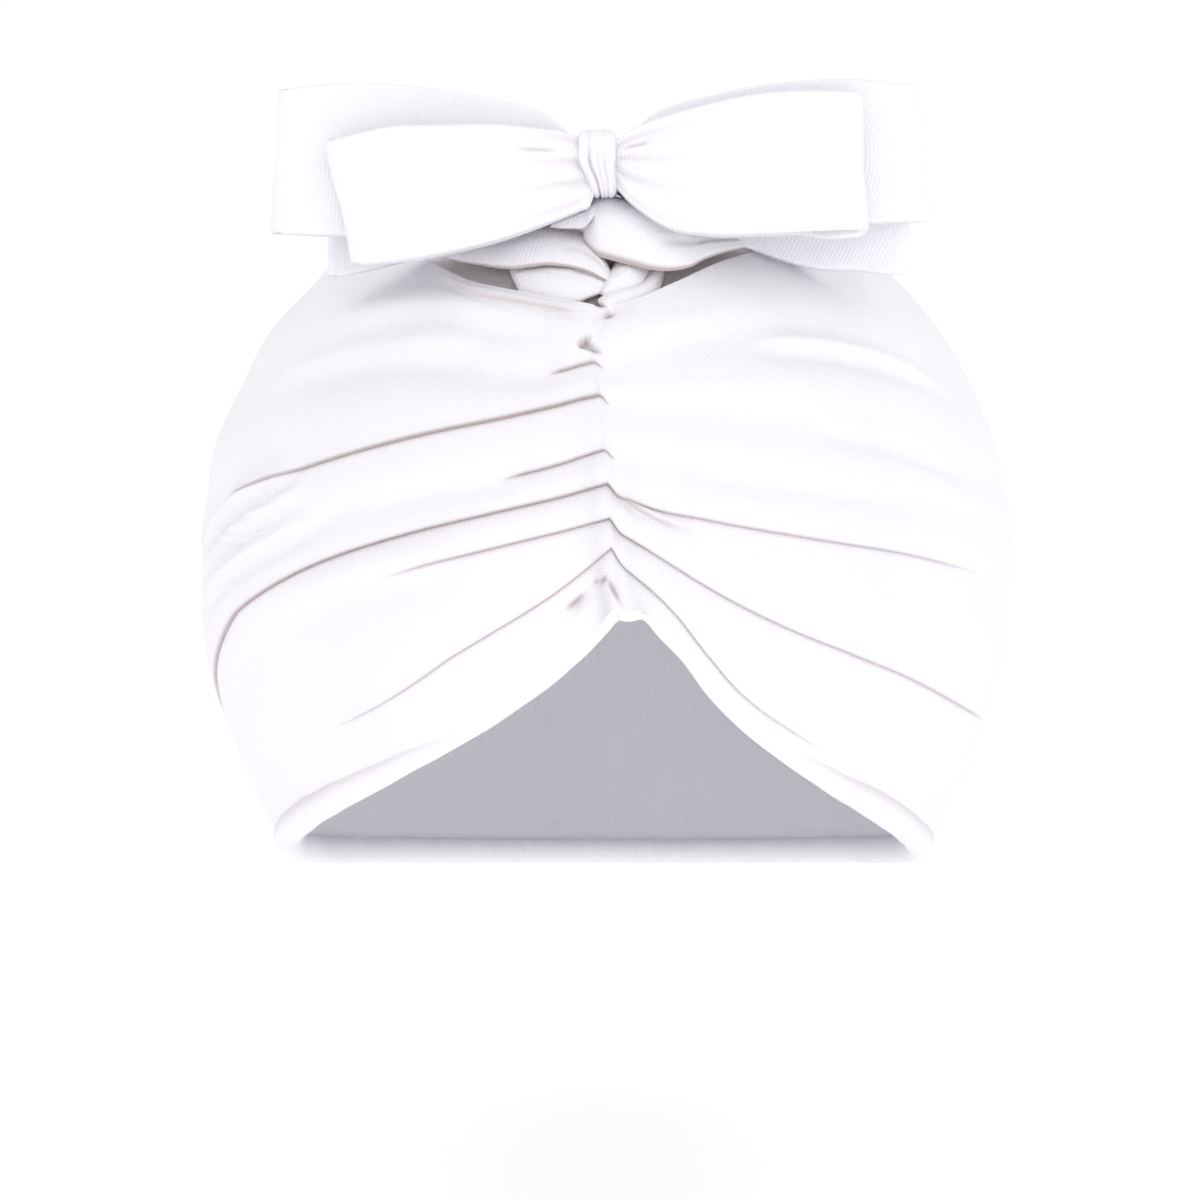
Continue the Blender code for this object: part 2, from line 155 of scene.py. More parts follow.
# Latitudes of each fold's line at these azimuths. The lip stands out above the line by that many
# millimetres and has gone at fade; its edge is crisp as far round as the azimuth called crisp.
AZIMUTHS = (0, 5, 12, 25, 40, 55, 90, 135, 180)
LATITUDE_COLUMNS = slice(1, 10)
LIP_FADE_START = 0.15
CRISP_END_SHARE = 1.3
CRISP_END_MORE = 1.5
Fold = namedtuple("Fold", "name seam at5 at12 at25 at40 at55 at90 at135 back lip fade crisp")
LEFT_FOLDS = (
    Fold("rim", 5.4, -0.2, -5.5, -13.3, -21.2, -28.8, -44.0, -56.5, -60.5, 0.0, 90, 0),
    Fold("brow_fold", 13.9, 9.9, 5.0, -3.9, -11.5, -18.5, -36.0, -49.0, -53.0, 1.1, 60, 30),
    Fold("temple_fold", 17.4, 16.0, 14.1, 9.9, 3.4, -6.5, -31.0, -42.0, -45.0, 1.3, 62, 22),
    Fold("long_fold", 21.5, 20.0, 18.2, 14.4, 8.4, 0.2, -26.0, -34.0, -36.0, 1.7, 130, 68),
    Fold("short_fold", 25.7, 24.0, 22.1, 19.2, 14.6, 8.0, 0.0, -8.0, -10.0, 1.3, 70, 10),
    Fold("crown_fold", 32.7, 31.3, 29.6, 26.6, 21.9, 16.4, 8.0, 3.0, 2.0, 1.5, 130, 50),
    Fold("upper_fold", 37.2, 35.8, 35.3, 36.2, 36.8, 34.5, 24.0, 17.0, 14.0, 1.2, 110, 5),
    Fold("knot_edge", 44.6, 45.3, 46.0, 48.0, 51.8, 53.0, 44.0, 35.0, 30.0, -2.0, 60, 0),
)
RIGHT_FOLDS = (
    Fold("rim", 5.4, 2.9, -4.3, -13.6, -22.2, -30.0, -44.0, -56.5, -60.5, 0.0, 90, 0),
    Fold("brow_fold", 13.9, 8.6, -0.2, -9.4, -17.0, -23.5, -34.0, -47.0, -53.0, 1.4, 45, 22),
    Fold("temple_fold", 17.4, 13.6, 8.7, 1.8, -4.4, -10.8, -22.5, -37.0, -45.0, 1.5, 120, 58),
    Fold("long_fold", 21.5, 18.9, 17.0, 14.0, 10.3, 5.5, -7.0, -25.0, -36.0, 1.5, 95, 46),
    Fold("short_fold", 25.7, 24.7, 24.0, 21.7, 18.3, 13.2, 3.0, -7.0, -10.0, 0.8, 90, 0.4),
    Fold("crown_fold", 32.7, 31.5, 30.5, 28.8, 25.7, 19.2, 9.0, 3.0, 2.0, 0.9, 110, 0.2),
    Fold("upper_fold", 37.2, 37.6, 38.9, 39.9, 37.9, 32.7, 21.0, 15.0, 14.0, 0.9, 110, 0.3),
    Fold("knot_edge", 44.6, 45.6, 48.0, 52.2, 54.0, 50.0, 40.0, 33.0, 30.0, -2.2, 60, 0),
)
CAP_BAND = len(LEFT_FOLDS) - 1

# Short creases between the main folds, as places from the seam outwards. Each lifts the cloth
# above its line and lowers it below, by half its lip each way. A narrow one is sharp and shaded.
Crease = namedtuple("Crease", "name from_az mid_az to_az from_lat mid_lat to_lat lip width")
CREASES = (
    Crease("under_knot", -2.5, -16.0, -36.0, 43.8, 44.7, 49.6, 1.3, 0.7),
    Crease("upper_valley", -6.0, -24.0, -60.0, 41.0, 43.0, 36.0, 2.2, 3.0),
    Crease("upper_swell", -19.0, -38.0, -67.0, 38.3, 36.9, 27.0, 1.8, 2.8),
    Crease("cheek_ridge_high", -45.0, -57.0, -76.0, 19.5, 14.0, 3.0, 2.9, 1.7),
    Crease("cheek_ridge_middle", -43.0, -54.0, -78.0, 17.0, 11.5, -2.0, 2.7, 1.6),
    Crease("cheek_ridge_low", -38.0, -55.0, -80.0, 14.6, 6.2, -8.0, 2.6, 1.6),
    Crease("temple_swell", -18.0, -31.0, -46.0, 11.0, 7.4, 0.5, 1.5, 2.4),
    Crease("right_high", 24.0, 43.0, 68.0, 38.6, 36.2, 25.0, 1.9, 1.5),
    Crease("right_middle", 30.0, 42.0, 60.0, 27.6, 24.6, 17.0, 1.9, 1.5),
    Crease("right_low", 10.0, 28.0, 48.0, 23.6, 20.4, 15.5, 1.3, 1.7),
    Crease("right_branch", 1.2, 4.5, 11.0, 20.3, 17.9, 15.4, 1.1, 0.7),
)
CREASE_LIFT = 0.8
CREASE_START = (-0.06, 0.16)
CREASE_END = (0.55, 1.02)
CREASE_REACH_WIDTHS = 6
SHARP_CREASE_WIDTH = 1.0
SHARP_CREASE_SHADE = 0.6
SHARP_CREASE_SHADE_WIDTH = 0.6

# Small hollows where the gathers pull the cloth in.
Hollow = namedtuple("Hollow", "name azimuth latitude across along turn depth")
HOLLOWS = (
    Hollow("brow_dimple", -4.6, 7.5, 0.6, 2.0, -48, 1.7),
    Hollow("brow_tuck_left", -1.4, 10.1, 1.2, 0.3, 22, 0.9),
    Hollow("brow_tuck_right", -0.1, 8.9, 0.38, 1.7, 22, 1.3),
    Hollow("knot_notch", 1.4, 43.8, 0.9, 0.7, 0, 1.6),
)
HOLLOW_SHADE = 0.8
HOLLOW_SHADED_PART = (0.35, 1.0)

# The open pocket over the upper fold: azimuth and latitude of its corners, and how softly the
# cloth falls in over each edge, from a corner to the next. The last edge is the lip over it.
POCKET_CORNERS = ((-2.5, 38.6), (2.1, 37.9), (-0.8, 40.5))
POCKET_EDGE_START = -0.1
POCKET_EDGE_ENDS = (0.9, 0.3, 0.15)
POCKET_DEPTH = 1.7
POCKET_SHADE_REACH = 1.5

# The seam wanders to these azimuths at these latitudes, and takes the cloth beside it along.
SEAM_LATITUDES = (5.4, 10.5, 21.0, 32.6, 39.8, 44.6, 60.0)
SEAM_AZIMUTHS = (1.5, 0.8, 0.2, -0.8, -2.4, -0.6, 0.0)
SEAM_REACH = 16.0
SEAM_GROOVE_DEPTH = 0.5
SEAM_GROOVE_HALF_ANGLE = 1.8
SEAM_GROOVE_END = (42.0, 50.0)

# To the right of the seam each line drops in a short hook, and the rim's point is cut off flat.
HOOK_DROP = 1.3
HOOK_START = 0.9
HOOK_REACH = 4.0
APEX_RISE = 1.3
APEX_AZIMUTH = 3.1
APEX_HALF_WIDTH = 1.6

# A crisp lip is a round edge, with its cloth tucked back under it and a thin crevice beside it.
# The sinks are the cloth's depth under the egg at the foot of a lip, as shares of the lip, so a
# crisp lip's foot stands out. The cap is the cloth from the last line, behind the knot, to the top.
TUCK_UNDER = 40.0
LIP_EDGE_RADIUS = 0.5
LIP_EDGE_SHARE = 0.3
SOFT_LIP_SHARE = 0.42
SINK_SOFT = 0.22
SINK_CRISP = -0.32
CREVICE = 0.32
CREVICE_WIDTH = 0.32
FULL_CREVICE_LIP = 1.2
BAND_SWELL = 0.25
BAND_EASE = (0.0, 1.0)
CAP_SINK = 0.5
CAP_LIP_WIDTH = 2.4
CAP_EASE = (0.15, 1.0)

# Shade lies in the creases, fainter to the right of the seam, and on the cap behind the knot.
SHADE_WIDTH = 0.2
FULL_SHADE_LIP = 1.5
RIGHT_SHADE = 0.6
RIGHT_SHADE_START = (2.0, 7.0)
KNOT_GAP_SHADE = 0.46
KNOT_GAP_START = (0.0, 1.2)
KNOT_GAP_END = (8.0, 16.0)
KNOT_GAP_SIDES = (28.0, 46.0)

# Rows and columns of points. Crowding draws a band's rows together towards its upper edge.
LIP_ROWS = 8
BAND_ROWS = 14
BAND_CROWDING = 1.7
POCKET_BAND = 6
POCKET_BAND_ROWS = 22
POCKET_BAND_CROWDING = 1.2
CAP_ROWS = 34
CAP_ROW_POWER = 1.3
LINING_ROWS = 20
COLUMN_STEPS = ((3.0, 0.25), (78.0, 0.5), (112.0, 1.25), (180.0, 2.5))

# Shallow pleats run up to the knot from the back, and slow waves leave the cloth uneven.
TOP_PLEATS = 22
TOP_PLEAT_DEPTH = 0.55
TOP_PLEAT_SIDES = (50.0, 90.0)
TOP_PLEAT_START = (48.0, 70.0)
TOP_PLEAT_END = (80.0, 89.0)
TOP_PLEAT_BEND = 1.5
TOP_PLEAT_BENDS = 3
WAVES = 7
WAVES_ACROSS = (0.6, 1.4)
WAVES_AROUND = (0.12, 0.35)
WAVES_TOGETHER = 2.6
CROWN_WAVE_SEED = 5
CROWN_WAVE = 16.0
CROWN_WAVE_DEPTH = 0.22
LINING_FOLLOWS = 0.45
LINING_HIGHEST = 0.6
TOP_STAND = 0.1

# Jersey: fine ribs of knitting that run down across the folds, on slightly cool white cotton.
# The pitches are in millimetres and the relief in metres.
RIB_PITCH = 0.66
STITCH_PITCH = 0.62
RIB_RELIEF = 0.00007
RIB_HEIGHT = 0.36
STITCH_HEIGHT = 0.14
NAP_HEIGHT = 0.5
NAP_FINENESS = 2600.0
UNEVENNESS = 2.2
UNEVEN_FINENESS = 160.0
PATCH_SHADE = 0.55
PATCH_FINENESS = 55.0
# Painted shade: darker in the valleys between the ribs, and brown-grey deep in the folds.
VALLEY_SHADE = 0.3
FOLD_SHADE_SHARE = 0.85
RIB_TURN = 0.8
RIB_STEEPEST = 0.7
RIB_STRAIGHT_SIDES = (0.0, 7.0)
RIB_NARROWEST = 0.35
COTTON_WHITE = (0.893, 0.876, 0.914, 1.0)
COTTON_SHADE = (0.838, 0.818, 0.870, 1.0)
FOLD_SHADE = (0.40, 0.315, 0.305, 1.0)


def smooth_step(low, high, value):
    share = np.clip((np.asarray(value, float) - low) / (high - low), 0.0, 1.0)
    return share * share * (3.0 - 2.0 * share)


def through(stations, values, at):
    """A smooth curve through the values, with Hermite pieces, level at its last station."""
    stations = np.asarray(stations, float)
    values = np.asarray(values, float)
    slopes = np.gradient(values, stations)
    slopes[-1] = 0.0
    piece = np.clip(np.searchsorted(stations, at, "right") - 1, 0, len(stations) - 2)
    span = stations[piece + 1] - stations[piece]
    t = (np.asarray(at, float) - stations[piece]) / span
    return (
        (2 * t**3 - 3 * t**2 + 1) * values[piece]
        + (t**3 - 2 * t**2 + t) * span * slopes[piece]
        + (3 * t**2 - 2 * t**3) * values[piece + 1]
        + (t**3 - t**2) * span * slopes[piece + 1]
    )


def unit(vectors):
    return vectors / np.maximum(np.linalg.norm(vectors, axis=-1, keepdims=True), 1e-12)


def egg(azimuth, latitude, lift):
    """Points that stand off the egg by lift, and the outward directions there."""
    azimuth, latitude, lift = np.broadcast_arrays(azimuth, latitude, lift)
    a, e = np.radians(azimuth), np.radians(latitude)
    direction = np.stack([np.sin(a) * np.cos(e), -np.cos(a) * np.cos(e), np.sin(e)], -1)
    half = np.stack(
        [
            np.full(a.shape, HALF_WIDTH),
            np.where(np.cos(a) > 0, HALF_DEPTH_FRONT, HALF_DEPTH_BACK),
            np.where(e > 0, RISE, DROP),
        ],
        -1,
    )
    outward = unit(direction / half)
    return direction * half + lift[..., None] * outward, outward


def crown_columns():
    """Azimuths of the crown's columns, closest together at the seam."""
    right = [0.0]
    for reach, step in COLUMN_STEPS:
        count = round((reach - right[-1]) / step)
        right += list(np.linspace(right[-1], reach, count + 1)[1:])
    left = [-angle for angle in reversed(right[1:-1])]
    return np.array(left + right)


def both_sides(azimuths, read):
    """read(fold, angle) for every fold, from the table of the side that each column is on."""
    angle = np.abs(azimuths)
    rows = [
        np.where(azimuths < 0, read(left, angle), read(right, angle))
        for left, right in zip(LEFT_FOLDS, RIGHT_FOLDS)
    ]
    return np.array(rows)


def fold_lines(azimuths):
    lines = both_sides(
        azimuths, lambda fold, angle: through(AZIMUTHS, fold[LATITUDE_COLUMNS], angle)
    )
    right = np.maximum(azimuths, 0.0)
    hook = (1.0 - np.exp(-((right / HOOK_START) ** 2))) * np.exp(-right / HOOK_REACH)
    lines[1:-1] -= HOOK_DROP * hook
    lines[0] += APEX_RISE * np.exp(-(((right - APEX_AZIMUTH) / APEX_HALF_WIDTH) ** 2))
    return lines


def lip_height(fold, angle):
    return fold.lip * (1.0 - smooth_step(LIP_FADE_START * fold.fade, fold.fade, angle))


def lip_crispness(fold, angle):
    return 1.0 - smooth_step(fold.crisp, CRISP_END_SHARE * fold.crisp + CRISP_END_MORE, angle)


def hem_radius(azimuths):
    kept = smooth_step(*HEM_RADIUS_CHANGE, np.abs(azimuths))
    return HEM_RADIUS_FRONT + (HEM_RADIUS_SIDE - HEM_RADIUS_FRONT) * kept


def above_rim(azimuths, height):
    """The latitude that is height millimetres above the hem's lower edge, square to the edge."""
    rim = fold_lines(azimuths)[0]
    ahead = fold_lines(np.minimum(azimuths + 1.0, 180.0))[0]
    behind = fold_lines(np.maximum(azimuths - 1.0, -180.0))[0]
    steepness = np.hypot(1.0, (ahead - behind) / (2.0 * np.cos(np.radians(rim))))
    return rim + height * steepness / MM_PER_DEGREE


Band = namedtuple("Band", "number line width end lip crisp next_lip next_crisp")


def crown_bands(azimuths):
    """The cloth from each fold's line to the next, as widths and lips in millimetres."""
    lines = fold_lines(azimuths)
    lines[0] = above_rim(azimuths, HEM_COVER * hem_radius(azimuths))
    none = np.zeros((1, len(azimuths)))
    lips = np.concatenate([both_sides(azimuths, lip_height), none])
    crisp = np.concatenate([both_sides(azimuths, lip_crispness), none])
    widths = (np.concatenate([lines[1:], none + 90.0]) - lines) * MM_PER_DEGREE
    tuck = LIP_EDGE_RADIUS * (1.0 - math.cos(math.radians(TUCK_UNDER)))
    ends = widths + tuck * crisp[1:]
    parts = zip(range(CAP_BAND + 1), lines, widths, ends, lips, crisp, lips[1:], crisp[1:])
    return [Band(*part) for part in parts]


def band_steps(band):
    """Each row's distance above the band's line, and how high it has swung round the lip."""
    edge = np.minimum(LIP_EDGE_RADIUS, LIP_EDGE_SHARE * band.width)
    turns = np.linspace(-math.radians(TUCK_UNDER), math.pi / 2, LIP_ROWS)
    steps = []
    for turn, share in zip(turns, np.linspace(0.0, 1.0, LIP_ROWS)):
        crisp_part = band.crisp * edge * (1.0 - math.cos(turn))
        soft_part = (1.0 - band.crisp) * edge * share
        steps.append((crisp_part + soft_part, math.sin(turn)))
    rows, crowding, power = BAND_ROWS, BAND_CROWDING, 1.0
    if band.number == POCKET_BAND:
        rows, crowding = POCKET_BAND_ROWS, POCKET_BAND_CROWDING
    if band.number == CAP_BAND:
        rows, power = CAP_ROWS, CAP_ROW_POWER
    shares = np.linspace(0.0, 1.0, rows + 1)[1:-1] ** power
    shares = 1.0 - (1.0 - shares) ** crowding
    return steps + [(edge + (band.end - edge) * share, 1.0) for share in shares]


def sink(crisp):
    return SINK_SOFT + (SINK_CRISP - SINK_SOFT) * crisp


def own_lip(band, distance, swing):
    """The height that a band's own lip gives a row."""
    tucked = -math.sin(math.radians(TUCK_UNDER))
    crisp_rise = (swing - tucked) / (1.0 - tucked)
    soft_width = CAP_LIP_WIDTH if band.number == CAP_BAND else SOFT_LIP_SHARE * band.width
    soft_rise = smooth_step(0.0, soft_width, distance)
    rise = band.crisp * crisp_rise + (1.0 - band.crisp) * soft_rise
    if band.number == CAP_BAND:
        return band.lip * rise - CAP_SINK * band.lip * (1.0 - rise)
    height = band.lip * ((1.0 + sink(band.crisp)) * rise - sink(band.crisp))
    crevice = CREVICE * band.crisp * np.clip(band.lip / FULL_CREVICE_LIP, 0.0, 1.0)
    return height - crevice * (1.0 - crisp_rise) ** 2


def next_sink(band, distance):
    """How deep a row lies where the band goes in under the next fold."""
    if band.number + 1 == CAP_BAND:
        return CAP_SINK * band.next_lip
    near = np.exp(-np.maximum(band.end - distance, 0.0) / CREVICE_WIDTH) * band.next_crisp
    crevice = CREVICE * near * np.clip(band.next_lip / FULL_CREVICE_LIP, 0.0, 1.0)
    return sink(band.next_crisp) * band.next_lip + crevice


def row_height(band, distance, swing):
    share = distance / band.width
    ease = CAP_EASE if band.number == CAP_BAND else BAND_EASE
    down = smooth_step(*ease, share)
    height = own_lip(band, distance, swing) * (1.0 - down) - next_sink(band, distance) * down
    return height + BAND_SWELL * np.sin(math.pi * np.clip(share, 0, 1)) ** 2


def row_shade(band, distance, azimuths):
    if band.number == CAP_BAND:
        gap = smooth_step(*KNOT_GAP_START, distance) * (1.0 - smooth_step(*KNOT_GAP_END, distance))
        return KNOT_GAP_SHADE * gap * (1.0 - smooth_step(*KNOT_GAP_SIDES, np.abs(azimuths)))
    own = np.exp(-distance / SHADE_WIDTH) * band.crisp
    own = own * np.clip(np.abs(band.lip) / FULL_SHADE_LIP, 0.0, 1.0)
    under = np.exp(-(band.end - distance) / SHADE_WIDTH) * band.next_crisp
    under = under * np.clip(np.abs(band.next_lip) / FULL_SHADE_LIP, 0.0, 1.0)
    kept = 1.0 - (1.0 - RIGHT_SHADE) * smooth_step(*RIGHT_SHADE_START, azimuths)
    return np.maximum(own, under) * kept


def crown_rows(azimuths):
    """Latitude, height and crease shade of every row of the outside, from the rim up."""
    rows = []
    for band in crown_bands(azimuths):
        for distance, swing in band_steps(band):
            latitude = band.line + distance / MM_PER_DEGREE
            height = row_height(band, distance, swing)
            rows.append((latitude, height, row_shade(band, distance, azimuths)))
    latitude, height, shade = (np.array(part) for part in zip(*rows))
    return latitude, height, shade


def along_crease(crease, azimuth):
    """Where an azimuth is along a crease, 0 to 1, and the crease's latitude there."""
    ends = np.array([crease.from_az, crease.mid_az, crease.to_az], float)
    levels = np.array([crease.from_lat, crease.mid_lat, crease.to_lat], float)
    share = (azimuth - ends[0]) / (ends[2] - ends[0])
    bend = np.polyfit(ends, levels, 2)
    return share, np.polyval(bend, azimuth)


def crease_heights(azimuth, latitude):
    """What the short creases add to the height, and their shade."""
    height = np.zeros(latitude.shape)
    shade = np.zeros(latitude.shape)
    for crease in CREASES:
        share, level = along_crease(crease, azimuth)
        kept = smooth_step(*CREASE_START, share) * (1.0 - smooth_step(*CREASE_END, share))
        away = (latitude - level) * MM_PER_DEGREE / crease.width
        near = np.clip(away, -CREASE_REACH_WIDTHS, CREASE_REACH_WIDTHS)
        height += CREASE_LIFT * crease.lip * kept * away * np.exp(-(near**2) / 2)
        if crease.width < SHARP_CREASE_WIDTH:
            dark = np.exp(-((away / SHARP_CREASE_SHADE_WIDTH) ** 2))
            shade = np.maximum(shade, SHARP_CREASE_SHADE * kept * dark)
    return height, shade


def hollow_heights(azimuth, latitude):
    """What the small hollows take from the height, and their shade."""
    height = np.zeros(latitude.shape)
    shade = np.zeros(latitude.shape)
    for hollow in HOLLOWS:
        turn = math.radians(hollow.turn)
        x = (azimuth - hollow.azimuth) * math.cos(math.radians(hollow.latitude))
        y = latitude - hollow.latitude
        across = (x * math.cos(turn) + y * math.sin(turn)) / hollow.across
        along = (-x * math.sin(turn) + y * math.cos(turn)) / hollow.along
        dip = np.exp(-(across**2) - along**2)
        height -= hollow.depth * dip
        shade = np.maximum(shade, HOLLOW_SHADE * smooth_step(*HOLLOW_SHADED_PART, dip))
    return height, shade


def inside_edge(azimuth, latitude, start, end):
    """How far each point is to the left of the line from start to end, in degrees."""
    narrow = math.cos(math.radians(start[1]))
    run, rise = (end[0] - start[0]) * narrow, end[1] - start[1]
    x, y = (azimuth - start[0]) * narrow, latitude - start[1]
    return (run * y - rise * x) / math.hypot(run, rise)


def pocket_dent(azimuth, latitude):
    """How far the pocket is open at each point, 0 to 1, and its shade, deepest under its lip."""
    dent = 1.0
    ends = POCKET_CORNERS[1:] + POCKET_CORNERS[:1]
    for start, end, softness in zip(POCKET_CORNERS, ends, POCKET_EDGE_ENDS):
        inside = inside_edge(azimuth, latitude, start, end)
        dent = dent * smooth_step(POCKET_EDGE_START, softness, inside)
    return dent, dent * np.exp(-np.maximum(inside, 0.0) / POCKET_SHADE_REACH)


def slow_waves(azimuth, latitude, seed, wave, depth):
    """Gentle unevenness of hand-drawn cloth, longer along the folds than across them."""
    draw = np.random.default_rng(seed)
    total = np.zeros(np.broadcast(azimuth, latitude).shape)
    for _ in range(WAVES):
        across = draw.uniform(*WAVES_ACROSS) * 360.0 / wave
        around = round(draw.uniform(*WAVES_AROUND) * 360.0 / wave)
        phase, swing = draw.uniform(0.0, 2 * math.pi, 2)
        place = np.radians(latitude * across) + np.radians(azimuth * around) + phase
        total = total + np.sin(place) * math.cos(swing)
    return depth * total / WAVES_TOGETHER


def rib_lines(azimuth, latitude):
    """Distance round the hat of each point's rib: ribs run down square to the folds."""
    ribs = np.zeros(latitude.shape)
    middle = latitude.shape[0] * 2 // 3
    ribs[middle] = azimuth[middle] * math.radians(HALF_WIDTH)
    for step in (1, -1):
        row = middle
        while 0 <= row + step < latitude.shape[0]:
            slope = np.gradient(latitude[row], azimuth[row])
            slope = np.clip(slope, -RIB_STEEPEST, RIB_STEEPEST)
            slope = slope * smooth_step(*RIB_STRAIGHT_SIDES, np.abs(azimuth[row]))
            drop = latitude[row + step] - latitude[row]
            wide = np.maximum(np.cos(np.radians(latitude[row])), RIB_NARROWEST)
            shift = -drop * slope / wide**2 * RIB_TURN
            ribs[row + step] = np.interp(azimuth[row], azimuth[row] + shift, ribs[row])
            row += step
    return ribs


def seam_shift(azimuth, latitude):
    """How far the seam wanders sideways, with the cloth beside it."""
    wander = np.interp(latitude, SEAM_LATITUDES, SEAM_AZIMUTHS)
    return wander * np.exp(-((azimuth / SEAM_REACH) ** 2))


def top_pleats(azimuth, latitude):
    behind = smooth_step(*TOP_PLEAT_SIDES, np.abs(azimuth))
    kept = smooth_step(*TOP_PLEAT_START, latitude) * (1.0 - smooth_step(*TOP_PLEAT_END, latitude))
    bend = TOP_PLEAT_BEND * np.sin(np.radians(TOP_PLEAT_BENDS * azimuth))
    return TOP_PLEAT_DEPTH * behind * kept * np.cos(np.radians(azimuth * TOP_PLEATS) + bend)


def crown_skin():
    """The outside of the crown as rows of points from the rim up, with its ribs and shade."""
    columns = crown_columns()
    latitude, height, shade = crown_rows(columns)
    azimuth = np.broadcast_to(columns, latitude.shape)
    more, more_shade = crease_heights(azimuth, latitude)
    hollow, hollow_shade = hollow_heights(azimuth, latitude)
    dent, dent_shade = pocket_dent(azimuth, latitude)
    hollow = hollow - POCKET_DEPTH * dent
    groove = 1.0 - smooth_step(*SEAM_GROOVE_END, latitude)
    groove = groove * np.exp(-((azimuth / SEAM_GROOVE_HALF_ANGLE) ** 2))
    height = height + more + hollow - SEAM_GROOVE_DEPTH * groove
    height = height + slow_waves(azimuth, latitude, CROWN_WAVE_SEED, CROWN_WAVE, CROWN_WAVE_DEPTH)
    height = height + top_pleats(azimuth, latitude)
    shade = np.max([shade, more_shade, hollow_shade, dent_shade], axis=0)
    moved = azimuth + seam_shift(azimuth, latitude)
    points, _ = egg(moved, latitude, height)
    return points, rib_lines(azimuth, latitude), shade, moved, latitude, height


def measured(rings, closed_rows):
    """Length round each ring and down each column, in millimetres, for the knit to follow."""
    shut = np.concatenate([rings, rings[:, :1]], axis=1)
    if closed_rows:
        shut = np.concatenate([shut, shut[:1]], axis=0)
    around = np.linalg.norm(np.diff(shut, axis=1), axis=-1)
    around = np.concatenate([np.zeros((len(shut), 1)), np.cumsum(around, axis=1)], axis=1)
    down = np.linalg.norm(np.diff(shut, axis=0), axis=-1)
    down = np.concatenate([np.zeros((1, shut.shape[1])), np.cumsum(down, axis=0)], axis=0)
    return around, down


def cloth_faces(numbers, places, shut):
    """Four-sided faces between the rings, and the knit's place at each of their corners."""
    lower = numbers if shut else numbers[:-1]
    upper = np.roll(numbers, -1, axis=0) if shut else numbers[1:]
    quads = np.stack([lower, np.roll(lower, -1, axis=1), np.roll(upper, -1, axis=1), upper], -1)
    below, above = places[: len(quads)], places[1 : len(quads) + 1]
    corners = np.stack([below[:, :-1], below[:, 1:], above[:, 1:], above[:, :-1]], 2)
    return [tuple(quad) for quad in quads.reshape(-1, 4).tolist()], corners.reshape(-1, 2)


def tip_faces(ring, places, tip, turned):
    """Triangles that close a ring on its tip, and the knit's place at each of their corners."""
    faces, marks = [], []
    for column, point in enumerate(ring):
        after = ring[(column + 1) % len(ring)]
        edge = [(int(point), places[column]), (int(after), places[column + 1])]
        if turned:
            edge.reverse()
        (one, one_place), (other, other_place) = edge
        faces.append((one, other, tip))
        marks += [one_place, other_place, places[column]]
    return faces, marks


def cloth_piece(name, rings, knit, shade, material, tips=None):
    """A closed cloth surface through rings of points, shut on itself or on a tip at each end."""
    points = rings.reshape(-1, 3)
    numbers = np.arange(len(points)).reshape(rings.shape[:2])
    places = np.stack(knit, -1)
    faces, marks = cloth_faces(numbers, places, tips is None)
    dark = shade.reshape(-1)
    if tips is not None:
        for end, turned in ((0, True), (-1, False)):
            more_faces, more_marks = tip_faces(numbers[end], places[end], len(points), turned)
            points = np.concatenate([points, tips[[end]]])
            dark = np.concatenate([dark, [shade[end].mean()]])
            faces += more_faces
            marks = np.concatenate([marks, more_marks])
    placed = (points - (0.0, 0.0, SEAT)) * MM
    mesh = bpy.data.meshes.new(name)
    mesh.from_pydata(placed.tolist(), [], faces)
    knitted = mesh.attributes.new("knit", "FLOAT_VECTOR", "CORNER")
    flat = np.zeros((len(marks), 3), np.float32)
    flat[:, :2] = marks
    knitted.data.foreach_set("vector", flat.ravel())
    shaded = mesh.attributes.new("fold_shade", "FLOAT", "POINT")
    shaded.data.foreach_set("value", np.asarray(dark, np.float32))
    mesh.update()
    face_outward(mesh)
    mesh.shade_smooth()
    mesh.materials.append(material)
    piece = bpy.data.objects.new(name, mesh)
    bpy.context.scene.collection.objects.link(piece)
    return piece


def face_outward(mesh):
    """Turns every face over if the closed mesh is inside out."""
    mesh.calc_loop_triangles()
    points = np.empty(len(mesh.vertices) * 3)
    mesh.vertices.foreach_get("co", points)
    corners = np.empty(len(mesh.loop_triangles) * 3, np.int32)
    mesh.loop_triangles.foreach_get("vertices", corners)
    triangles = points.reshape(-1, 3)[corners.reshape(-1, 3)]
    if np.linalg.det(triangles).sum() < 0:
        mesh.flip_normals()


def worked(tree, operation, first, second=None):
    """A Math node's result. Each input is a number or another node's output."""
    node = tree.nodes.new("ShaderNodeMath")
    node.operation = operation
    for socket, value in zip(node.inputs, (first, second)):
        if value is None:
            continue
        if isinstance(value, (int, float)):
            socket.default_value = value
        else:
            tree.links.new(value, socket)
    return node.outputs[0]


def mixed(tree, share, first, second):
    """A colour between two, by a share that changes over the cloth."""
    node = tree.nodes.new("ShaderNodeMix")
    node.data_type = "RGBA"
    share_socket, first_socket, second_socket = node.inputs[0], node.inputs[6], node.inputs[7]
    for socket, value in ((share_socket, share), (first_socket, first), (second_socket, second)):
        if isinstance(value, (int, float, tuple)):
            socket.default_value = value
        else:
            tree.links.new(value, socket)
    return node.outputs[2]


def noise(tree, scale, detail):
    place = tree.nodes.new("ShaderNodeTexCoord")
    node = tree.nodes.new("ShaderNodeTexNoise")
    node.inputs["Scale"].default_value = scale
    node.inputs["Detail"].default_value = detail
    tree.links.new(place.outputs["Object"], node.inputs["Vector"])
    return node.outputs["Fac"]


